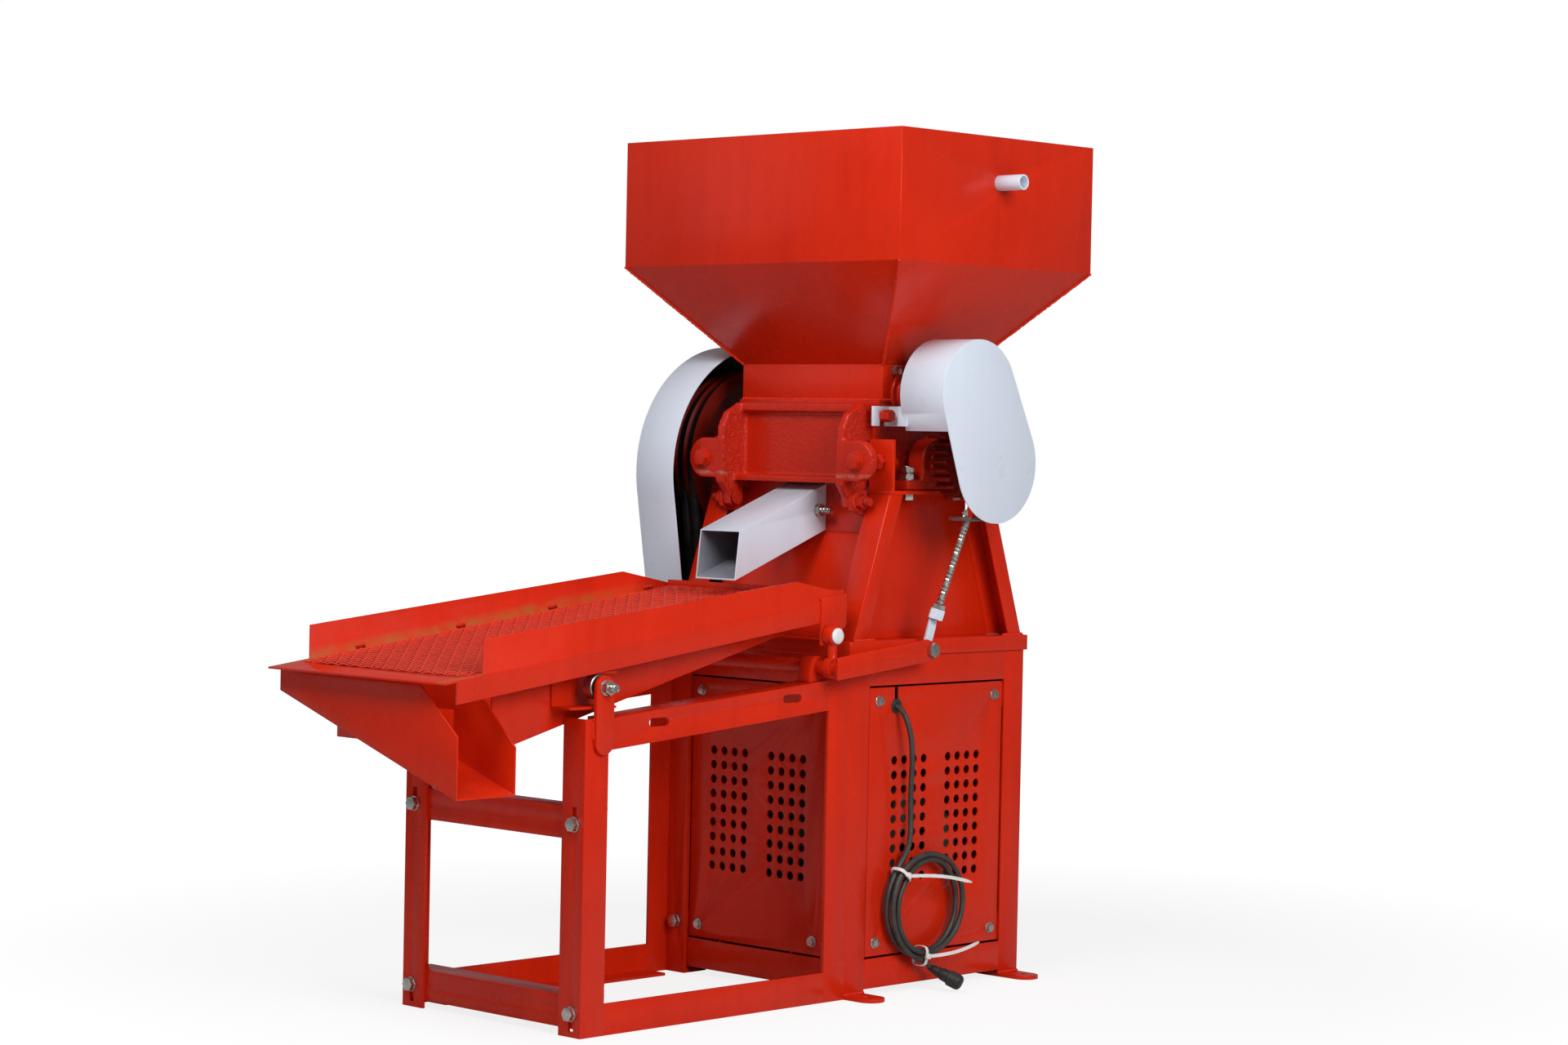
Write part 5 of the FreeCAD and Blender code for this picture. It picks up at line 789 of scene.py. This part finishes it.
turnedForms = {
    "washer": [(0, 0.42), (0, 0.47), (0.12, 0.5), (0.85, 0.5), (1, 0.47), (1, 0.42)],
    "dome": [(0, 0.5), (0.25, 0.5), (0.6, 0.44), (0.85, 0.31), (1, 0.12)],
}
threadForms = {  # radius, pitch, length
    "thread6": (0.0030, 0.0010, 0.010), "thread8": (0.0040, 0.00125, 0.016),
    "thread10": (0.0050, 0.0015, 0.030), "thread12": (0.0060, 0.00175, 0.046),
    "thread14": (0.0069, 0.0020, 0.060),
}
forms = {
    "head": placed("headForm", hexMesh()),
    "nut": placed("nutForm", hexMesh(bottom=True, bore=0.3)),
}
for name, profile in turnedForms.items():
    forms[name] = placed(name + "Form", turnedMesh(profile, (0, 0, 0), (0, 0, 1), 32))
for name, sizes in threadForms.items():
    forms[name] = placed(name, threadMesh(*sizes))
screwPlaces = {name: {} for name in ("zinc", "red", "lever")}


def putFastener(group, place, aim, *stack):
    # Stacks forms along aim: each is (form, start, height, width) in millimetres
    aim = Vector(aim)
    for form, start, height, width in stack:
        spot = (Vector(place) + aim * start) / 1000
        if form.startswith("thread"):
            size = (1, 1, height / (forms[form].dimensions.z * 1000))
        else:
            size = (width / 1000, width / 1000, height / 1000)
        screwPlaces[group].setdefault(form, []).append((spot, aim, size))


def finishFasteners():
    for group, (name, look, replaced) in {
        "zinc": ("zincFasteners", "zincPlate", ["zinc_bolts", "panel_screws"]),
        "red": ("redFasteners", "castRed", ["cover_bolts"]),
        "lever": ("leverFastener", "zincPlate", ["lever_bolt"]),
    }.items():
        meshes = []
        for form, rows in screwPlaces[group].items():
            meshes.append(grown(setTree, pointMesh(rows), Prototype=forms[form], Surface=material[look]))
        finished(name, joined(meshes), replaced, look, 28)
    for form in forms.values():
        bpy.data.objects.remove(form)


bpy.context.view_layer.update()
panelScrew = ("washer", 0, 1.6, 15), ("head", 1.6, 4, 10.4), ("thread6", -7.4, 7.4, 0)
footBolt = ("washer", 0, 1.6, 19), ("head", 1.6, 6.4, 16)
for side in (-1, 1):
    for level in (29.5, 265.5):
        putFastener("zinc", (side * 153, -660, level), (0, -1, 0), *footBolt,
                    ("thread10", -22.4, 14.4, 0), ("nut", -16.4, 8, 16))
    putFastener("zinc", (side * 148, -184, 72), (0, -1, 0), *footBolt,
                ("thread10", -20.4, 14, 0), ("nut", -16.2, 8, 16))
    putFastener("zinc", (side * 145, -632, 436), (side, 0, 0), ("dome", 0, 4.5, 16),
                ("washer", 31, 1.4, 20), ("nut", 32.4, 8, 16.4), ("thread10", 4, 48, 0))
    for front in (-1, 1):
        putFastener("zinc", (side * 149, front * 49, 669), (0, 0, 1), ("head", 0, 8, 18.2),
                    ("thread12", 8, 39, 0), ("washer", 27, 1.6, 24), ("nut", 28.6, 7.6, 18.2),
                    ("nut", 37.6, 7, 18.2))
        for level in (71, 398):
            putFastener("zinc", (side * 168, front * 119, level), (side, 0, 0), *panelScrew)
            putFastener("zinc", (side * 109, front * 178, level), (0, front, 0), *panelScrew)
    putFastener("zinc", (side * 133, -60, 844), (side, 0, 0), ("thread8", -5, 15, 0),
                ("washer", 0.1, 1.6, 17), ("nut", 1.7, 6.4, 13), ("head", 11, 5.9, 13))
    putFastener("red", (side * 145, -150, 721), (0, -1, 0), ("washer", 0, 2, 27), ("head", 2, 7, 20),
                ("thread14", -78, 62, 0), ("nut", -26, 10, 20), ("nut", -46, 10, 20), ("nut", -62.2, 10, 20))
    putFastener("red", (side * 103, -123, 666), (side, 0, 0), ("dome", 0, 4.6, 20),
                ("thread12", 2, 45, 0), ("washer", 24, 2.4, 28), ("nut", 26.5, 9, 18.2))
putFastener("zinc", (33.3, -108, 652), (1, 0, 0), ("dome", 0, 2.1, 16), ("thread10", 1, 30, 0),
            ("washer", 4.8, 1.4, 18), ("nut", 6.2, 6.5, 15.6))
putFastener("red", (136, -88, 783), (1, 0, 0), ("thread10", -8, 16, 0), ("nut", 0.1, 7, 14.7),
            ("washer", 7.2, 1.4, 17), ("head", 8.6, 8.2, 14.7))
putFastener("lever", (206, -57, 467), (1, 0, 0), ("head", 0.2, 6.8, 17.3), ("thread12", -24, 24, 0))
finishFasteners()
print("stage: fasteners")


# Push rod: its axis runs from the eye's bolt towards the eccentric's plate
rod = {
    "eye": (0.194, -0.057, 0.467), "plate": (0.230, 0.645), "shaft": (0.0, 0.721), "start": 0.0582,
    "end": 0.0012, "radius": 0.0052, "pitch": 0.0027, "nutWide": 0.0165, "nutHigh": (0.006, 0.008),
    "strapHalf": 0.0036,
}
rodEye = {
    "place": (0.1897, -0.057, 0.467),
    "ring": [(0, 0.0068), (0, 0.0122), (0.0012, 0.0134), (0.0084, 0.0134), (0.0097, 0.0122),
             (0.0097, 0.0068)],
    "shank": [(0.010, 0.0062), (0.018, 0.0066), (0.030, 0.0076), (0.0435, 0.0078)],
    "cheek": 0.1996, "nutStart": 0.0437, "nutWide": 0.019, "nutHigh": 0.0142,
}


def rodLine():
    eye = Vector(rod["eye"])
    (plateX, plateZ), (shaftY, shaftZ) = rod["plate"], rod["shaft"]
    aim = Vector(((plateX - eye.x) / (plateZ - eye.z), (shaftY - eye.y) / (shaftZ - eye.z), 1)).normalized()
    return eye, aim, turnTo(aim)


def rodNut(start, turn, wide, high, bore):
    nut = hexMesh(bottom=True, bore=bore)
    nut.transform(Matrix.Translation(start) @ turn @ Matrix.Diagonal((wide, wide, high, 1)))
    return nut


def makePushRod():
    eye, aim, turn = rodLine()
    start = eye + aim * rod["start"]
    length = (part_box("push_rod")[1].z - rod["end"] - start.z) / aim.z
    thread = threadMesh(rod["radius"], rod["pitch"], length)
    thread.transform(Matrix.Translation(start) @ turn)
    meshes = [thread]
    plate = (rod["plate"][1] + rod["strapHalf"] - start.z) / aim.z
    for along, high in zip((0.0, plate), rod["nutHigh"]):
        meshes.append(rodNut(start + aim * along, turn, rod["nutWide"], high, 0.3))
    finished("pushRod", joined(meshes), ["push_rod"], smooth=28)


def makeRodEye():
    # The eye with its shank, flat on the lever's side, and the long coupling nut
    eye, aim, turn = rodLine()
    ring = turnedMesh(rodEye["ring"], rodEye["place"], (1, 0, 0))
    shank = turnedMesh(rodEye["shank"], eye, aim)
    for vertex in shank.vertices:
        vertex.co.x = min(vertex.co.x, rodEye["cheek"])
    nut = rodNut(eye + aim * rodEye["nutStart"], turn, rodEye["nutWide"], rodEye["nutHigh"], 0.27)
    finished("rodEye", joined([ring, shank, nut]), ["rod_eye"], smooth=30, slot="white_paint")


makePushRod()
makeRodEye()
print("stage: push rod")


# Track rollers: ball bearings that run in the sieve's channels
bearing = {
    "places": {"right_track_roller": (0.150, -0.632, 0.436), "left_track_roller": (-0.165, -0.632, 0.436)},
    "ring": [(0, 0.0125), (0, 0.0148), (0.0008, 0.016), (0.0142, 0.016), (0.015, 0.0148), (0.015, 0.0125),
             (0.0142, 0.0122), (0.0008, 0.0122)],
    "seal": [(0.0012, 0.0122), (0.0007, 0.0118), (0.0011, 0.0083), (0.0139, 0.0083), (0.0143, 0.0118),
             (0.0138, 0.0122)],
    "inner": [(0.0004, 0.0053), (0.0002, 0.0080), (0.0010, 0.0083), (0.0140, 0.0083), (0.0148, 0.0080),
              (0.0146, 0.0053)],
}


def makeTrackRollers():
    for node, place in bearing["places"].items():
        name = node.split("_")[0] + "Roller"
        rings = [turnedMesh(bearing[key], place, (1, 0, 0), 64) for key in ("ring", "inner")]
        finished(name, joined(rings), [node])
        seal = turnedMesh(bearing["seal"], place, (1, 0, 0), 64)
        finished(name + "Seal", seal, body=bodyOf[node], slot="belt_rubber")


makeTrackRollers()
print("stage: track rollers")


# Motor: finned barrel, fan cowl with its grille, feet and terminal box
motor = {
    "level": 0.180, "start": -0.095, "end": 0.095, "core": 0.080, "radius": 0.086, "fins": 36,
    "finWall": 0.0016,
    "grille": {"rings": 5, "first": 0.014, "step": 0.011, "wide": 0.002, "sunk": 0.001, "proud": 0.0003},
    "feet": [((-0.066, 0.044, 0.090), (0.066, 0.080, 0.100)),
             ((-0.060, 0.054, 0.098), (0.060, 0.062, 0.128))],
    "box": ((-0.040, -0.045, 0.250), (0.030, 0.045, 0.289)), "boxEdge": 0.004,
    "lid": ((-0.042, -0.047, 0.289), (0.032, 0.047, 0.296)), "lidEdge": 0.003,
}


def makeMotor():
    start, end, core = motor["start"], motor["end"], motor["core"]
    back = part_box("motor_body")[1].x
    centre = Vector((0, 0, motor["level"]))
    barrel = [(start, 0.0124), (start, 0.060), (start + 0.006, 0.074), (start + 0.012, core),
              (end - 0.010, core), (end - 0.008, 0.0835), (end, 0.0835), (end, 0.0125)]
    cowl = [(end, 0.030), (end, 0.0825), (end + 0.036, 0.0825), (end + 0.043, 0.078), (back, 0.066),
            (back, 0.030)]
    meshes = [turnedMesh(profile, centre, (1, 0, 0), 72) for profile in (barrel, cowl)]
    for count in range(motor["fins"]):
        fin = boxMesh((start + 0.016, -motor["finWall"] / 2, core - 0.002),
                      (end - 0.012, motor["finWall"] / 2, motor["radius"]), 0.0005, 1)
        angle = math.radians(360 * count / motor["fins"])
        fin.transform(Matrix.Translation(centre) @ Matrix.Rotation(angle, 4, "X"))
        meshes.append(fin)
    grille = motor["grille"]
    low, high = back - grille["sunk"], back + grille["proud"]
    for count in range(grille["rings"]):
        inner = grille["first"] + grille["step"] * count
        outer = inner + grille["wide"]
        ring = [(low, inner), (low, outer), (high, outer), (high, inner)]
        meshes.append(turnedMesh(ring, centre, (1, 0, 0), 48))
    for (lowX, lowY, lowZ), (highX, highY, highZ) in motor["feet"]:
        for near, far in ((-highY, -lowY), (lowY, highY)):
            meshes.append(boxMesh((lowX, near, lowZ), (highX, far, highZ)))
    meshes.append(boxMesh(*motor["box"], motor["boxEdge"]))
    meshes.append(boxMesh(*motor["lid"], motor["lidEdge"]))
    finished("motorHousing", joined(meshes), ["motor_body"], smooth=30)


makeMotor()
print("stage: motor")


# Hanger caps, plug and ties
hanger = {
    "y": -0.228, "z": 0.490,
    "pin": (0.1652, [(0, 0.0078), (0.0246, 0.0078)]),
    "cap": (0.1896, [(0, 0.0098), (0.0006, 0.0105), (0.0026, 0.0105), (0.0040, 0.0092), (0.0048, 0.0064),
                     (0.0050, 0.0025)]),
}


def makeCaps():
    pieces = []
    for side in (-1, 1):
        for x, profile in (hanger["pin"], hanger["cap"]):
            pieces.append(turnedMesh(profile, (side * x, hanger["y"], hanger["z"]), (side, 0, 0)))
    finished("hangerCaps", joined(pieces), ["sieve_pins"], "whiteNylon")


plug = {
    "root": (0.192, -0.028, 0.031), "tip": (0.236, -0.014, 0.0125),
    "profile": [(-0.004, 0.0040), (0.000, 0.0048), (0.004, 0.0052), (0.0046, 0.0062), (0.007, 0.0062),
                (0.0076, 0.0056), (0.0095, 0.0058), (0.0101, 0.0070), (0.0125, 0.0070), (0.0131, 0.0064),
                (0.015, 0.0068), (0.0175, 0.0084), (0.028, 0.0090), (0.0295, 0.0108), (0.031, 0.0110),
                (0.043, 0.0108), (0.0455, 0.0102), (0.0475, 0.0085), (0.0482, 0.0050)],
}


def makePlug():
    root, tip = Vector(plug["root"]), Vector(plug["tip"])
    body = turnedMesh(plug["profile"], root, tip - root, 48)
    finished("plugBody", body, ["cord_plug"], "plugRubber", 40)


ties = {
    "upper": {"angle": 139, "tail": (0.212, 0.030, 0.146), "sag": 0.004},
    "lower": {"angle": 262, "tail": (0.212, 0.048, 0.062), "sag": -0.003},
}
tieBand = {
    "steps": 40, "x": 0.1847, "wide": 0.0118, "radius": 0.0692, "deep": 0.0130, "square": 0.62,
    "thick": 0.0011, "half": 0.0023, "head": ((0.1966, 0.0650, -0.0036), (0.2018, 0.0724, 0.0036)),
    "headEdge": 0.0010, "tailRoot": (0.1995, 0.0687, 0), "tailSteps": 24, "tailBow": 0.004,
    "tailHalf": 0.0005, "rib": 0.0002, "point": 0.9,
}


def tieRing():
    # A flat band drawn round the strands, as a rounded square
    shape = bmesh.new()
    rows = []
    for step in range(tieBand["steps"]):
        angle = 2 * math.pi * step / tieBand["steps"]
        cosine, sine = math.cos(angle), math.sin(angle)
        x = tieBand["x"] + tieBand["wide"] * math.copysign(abs(cosine) ** tieBand["square"], cosine)
        radius = tieBand["radius"] + tieBand["deep"] * math.copysign(abs(sine) ** tieBand["square"], sine)
        out = Vector((cosine, sine)).normalized() * tieBand["thick"]
        rows.append([shape.verts.new((x + out.x * layer, radius + out.y * layer, tieBand["half"] * side))
                     for layer, side in ((0, -1), (1, -1), (1, 1), (0, 1))])
    bridged(shape, rows, closed=True)
    return meshOf(shape, outward=True)


def tieTail(root, tip, sag):
    # The ribbed tail, bowed outward and pointed at its end
    along = tip - root
    across = Vector((1, 0, 0)).cross(along).normalized()
    shape = bmesh.new()
    rows = []
    for step in range(tieBand["tailSteps"] + 1):
        part = step / tieBand["tailSteps"]
        middle = root + along * part + Vector((tieBand["tailBow"], 0, sag)) * math.sin(math.pi * part)
        half = tieBand["half"] * (1 - 6 * max(0.0, part - tieBand["point"]))
        thick = Vector((tieBand["tailHalf"] + tieBand["rib"] * (step % 2), 0, 0))
        rows.append([shape.verts.new(middle + across * half * side + thick * layer)
                     for layer, side in ((-1, -1), (1, -1), (1, 1), (-1, 1))])
    bridged(shape, rows)
    return meshOf(shape, outward=True)


def makeTies():
    meshes = []
    centre = Vector((0, *cordCoil["centre"]))
    for tie in ties.values():
        turn = Matrix.Translation(centre) @ Matrix.Rotation(math.radians(tie["angle"]), 4, "X")
        band = tieRing()
        head = boxMesh(*tieBand["head"], tieBand["headEdge"])
        band.transform(turn)
        head.transform(turn)
        meshes += [band, head, tieTail(turn @ Vector(tieBand["tailRoot"]), Vector(tie["tail"]), tie["sag"])]
    finished("cableTies", joined(meshes), ["cable_ties"], "whiteNylon")


makeCaps()
makePlug()
makeTies()
print("stage: caps, plug and ties")


# Welds
corners = [(x, y) for x in (-1, 1) for y in (-1, 1)]
weldBase = {"radius": 0.0022, "step": 0.0022, "look": "redPaint", "body": "machine"}
welds = {
    "hopper": {"lines": [
        ((x * 0.133, y * 0.086, 0.853), (x * 0.2600, y * 0.1985, 0.9865)) for x, y in corners]},
    "legs": {"radius": 0.0026, "step": 0.0024, "lines": [
        ((x * 0.1705, y * 0.1735, 0.4808), (x * 0.1705, y * 0.134, 0.4808)) for x, y in corners]},
    "ears": {"lines": [
        ((x * 0.1706, -0.6475, 0.372), (x * 0.1706, -0.6475, 0.396)) for x in (-1, 1)]},
    "feet": {"radius": 0.0024, "step": 0.0024, "lines": [
        ((x * 0.1704, y * 0.141, 0.0058), (x * 0.1704, y * 0.179, 0.0058)) for x, y in corners]},
    "tacks": {"radius": 0.0030, "step": 0.0026, "look": "castRed", "body": "sieve", "lines": [
        ((-0.1644, y - 0.006, 0.5690 + 0.1308 * y), (-0.1644, y + 0.006, 0.5706 + 0.1308 * y))
        for y in (-0.746, -0.577, -0.414, -0.236)]},
    "neck": {"lines": [
        ((-0.131, -0.0865, 0.8045), (0.131, -0.0865, 0.8045)),
        ((0.1335, -0.084, 0.8045), (0.1335, 0.084, 0.8045)),
        ((-0.1335, -0.084, 0.8045), (-0.1335, 0.084, 0.8045)),
        ((-0.131, 0.0865, 0.8045), (0.131, 0.0865, 0.8045))]},
}


def makeWelds():
    for name, changes in welds.items():
        weld = {**weldBase, **changes}
        places = [point for line in weld["lines"] for point in line]
        mesh = bpy.data.meshes.new(name + "Lines")
        mesh.from_pydata(places, [(2 * row, 2 * row + 1) for row in range(len(weld["lines"]))], [])
        bead = grown(weldTree, mesh, Radius=weld["radius"], Step=weld["step"], Seed=len(name),
                     Surface=material[weld["look"]])
        finished(name + "Weld", bead, look=weld["look"], smooth=60, body=weld["body"])


makeWelds()
print("stage: welds")

# Rounded sheet, bar and castings: each node's edge radius
softEdges = {
    "cabinet_frame": 0.0012, "front_panel": 0.0005, "rear_panel": 0.0005, "right_door": 0.0005,
    "left_panel": 0.0005, "foot_tabs": 0.001, "base_tray": 0.0012, "a_frame_legs": 0.0014,
    "top_shelves": 0.001, "inner_hood": 0.0008, "hopper": 0.0007, "hopper_pipe": 0.0005, "feed_neck": 0.001,
    "gear_guard": 0.0009, "belt_guard": 0.0009, "discharge_chute": 0.0010, "stand_legs": 0.0012,
    "stand_side_rails": 0.0012, "stand_cross_bars": 0.0012, "roller_ears": 0.001, "under_pan": 0.0006,
    "side_chute": 0.0006, "rocker_bearings": 0.002, "rocker_lever": 0.001, "rocker_shaft": 0.0015,
    "eccentric_strap": 0.001, "head_body": 0.003, "main_pulley": 0.0010, "motor_pulley": 0.0008,
    "main_gear": 0.0004, "feed_gear": 0.0004, "drive_belts": 0.0012, "main_shaft": 0.0010,
    "feed_shaft": 0.0010, "feed_bearings": 0.0015, "hulling_roller": 0.0010, "feed_roller": 0.0008,
    "eccentric": 0.0008, "hulling_screen": 0.0004, "hulling_blade": 0.0008, "motor_shaft": 0.0010,
}
ownNames = {"a_frame_legs": "headLegs", "hopper": "hopperShell", "eccentric": "eccentricDisc"}
# Parts deep inside the guards and the head take the red with painted shade
shadedNodes = ["main_gear", "feed_gear", "main_pulley", "motor_pulley", "hulling_roller", "feed_roller"]


def pieceName(node):
    first, *others = node.split("_")
    return ownNames.get(node, first + "".join(word.capitalize() for word in others))


for node, radius in softEdges.items():
    softened(node, pieceName(node), radius, look="darkRed" if node in shadedNodes else None)


def secondLook(name, look, chosen):
    # Gives the faces of a piece that pass a test a second surface
    mesh = bpy.data.objects[name].data
    mesh.materials.append(material[look])
    for face in mesh.polygons:
        if chosen(face.center, face.normal):
            face.material_index = 1


guardLine = {"low": 0.180, "high": 0.700, "face": 0.010, "rim": 0.0012}


def guardShadeFaces(centre, normal):
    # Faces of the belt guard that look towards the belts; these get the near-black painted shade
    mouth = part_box("belt_guard")[1].x
    if abs(normal.x) > 0.5:
        return normal.x > 0 and centre.x < mouth - guardLine["face"]
    axis = min(max(centre.z, guardLine["low"]), guardLine["high"])
    return centre.y * normal.y + (centre.z - axis) * normal.z < 0 and centre.x < mouth - guardLine["rim"]


chuteAxis = {"height": 0.067, "slope": 0.384, "side": 0.0375}


def chuteShadeFaces(centre, normal):
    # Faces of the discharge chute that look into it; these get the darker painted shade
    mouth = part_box("discharge_chute")[0]
    axis = mouth.z + chuteAxis["height"] / 2 + chuteAxis["slope"] * (centre.y - mouth.y)
    if abs(normal.x) > 0.5:
        return centre.x * normal.x < 0 and abs(centre.x) < chuteAxis["side"]
    return abs(normal.z) > 0.5 and (centre.z - axis) * normal.z < 0


strapPlate = 0.6486  # the top of the strap's zinc plate
# The belt guard's inner faces take the near-black painted shade
secondLook("beltGuard", "guardInside", guardShadeFaces)
secondLook("eccentricStrap", "dullZinc", lambda centre, normal: centre.z < strapPlate)
# The chute's inner faces take the darker painted shade
secondLook("dischargeChute", "chuteInside", chuteShadeFaces)
softened("sieve_tray", "sieveTray", 0.0008, look="trayPaint")
softened("cord_grommet", "cordGrommet", 0.0008, look="plugRubber")
cast("front_cover", "frontCover", 0.0020, 0.00045)
cast("pillow_blocks", "pillowBlocks", 0.0016, 0.00035)
print("stage: rounded sheet, bar and castings")


# The hood's sides reach back to the rear legs
hoodBack = {"low": 0.4806, "high": 0.645, "lean": 0.34, "reach": 0.034, "gap": 0.0048, "sheet": 0.002}


def makeHoodBack():
    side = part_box("inner_hood")[1].x
    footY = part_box("a_frame_legs")[1].y
    headY = footY - hoodBack["lean"] * (hoodBack["high"] - hoodBack["low"])
    meshes = []
    for way in (-1, 1):
        shape = bmesh.new()
        corners = []
        for x in (side - hoodBack["sheet"], side):
            for back in (hoodBack["reach"], hoodBack["gap"]):
                for y, z in ((footY, hoodBack["low"]), (headY, hoodBack["high"])):
                    corners.append(shape.verts.new((way * x, y - back, z)))
        bridged(shape, [[corners[corner] for corner in ring] for ring in ((0, 1, 3, 2), (4, 5, 7, 6))])
        meshes.append(meshOf(shape, outward=True))
    finished("hoodBack", joined(meshes))


makeHoodBack()
print("stage: hood back")
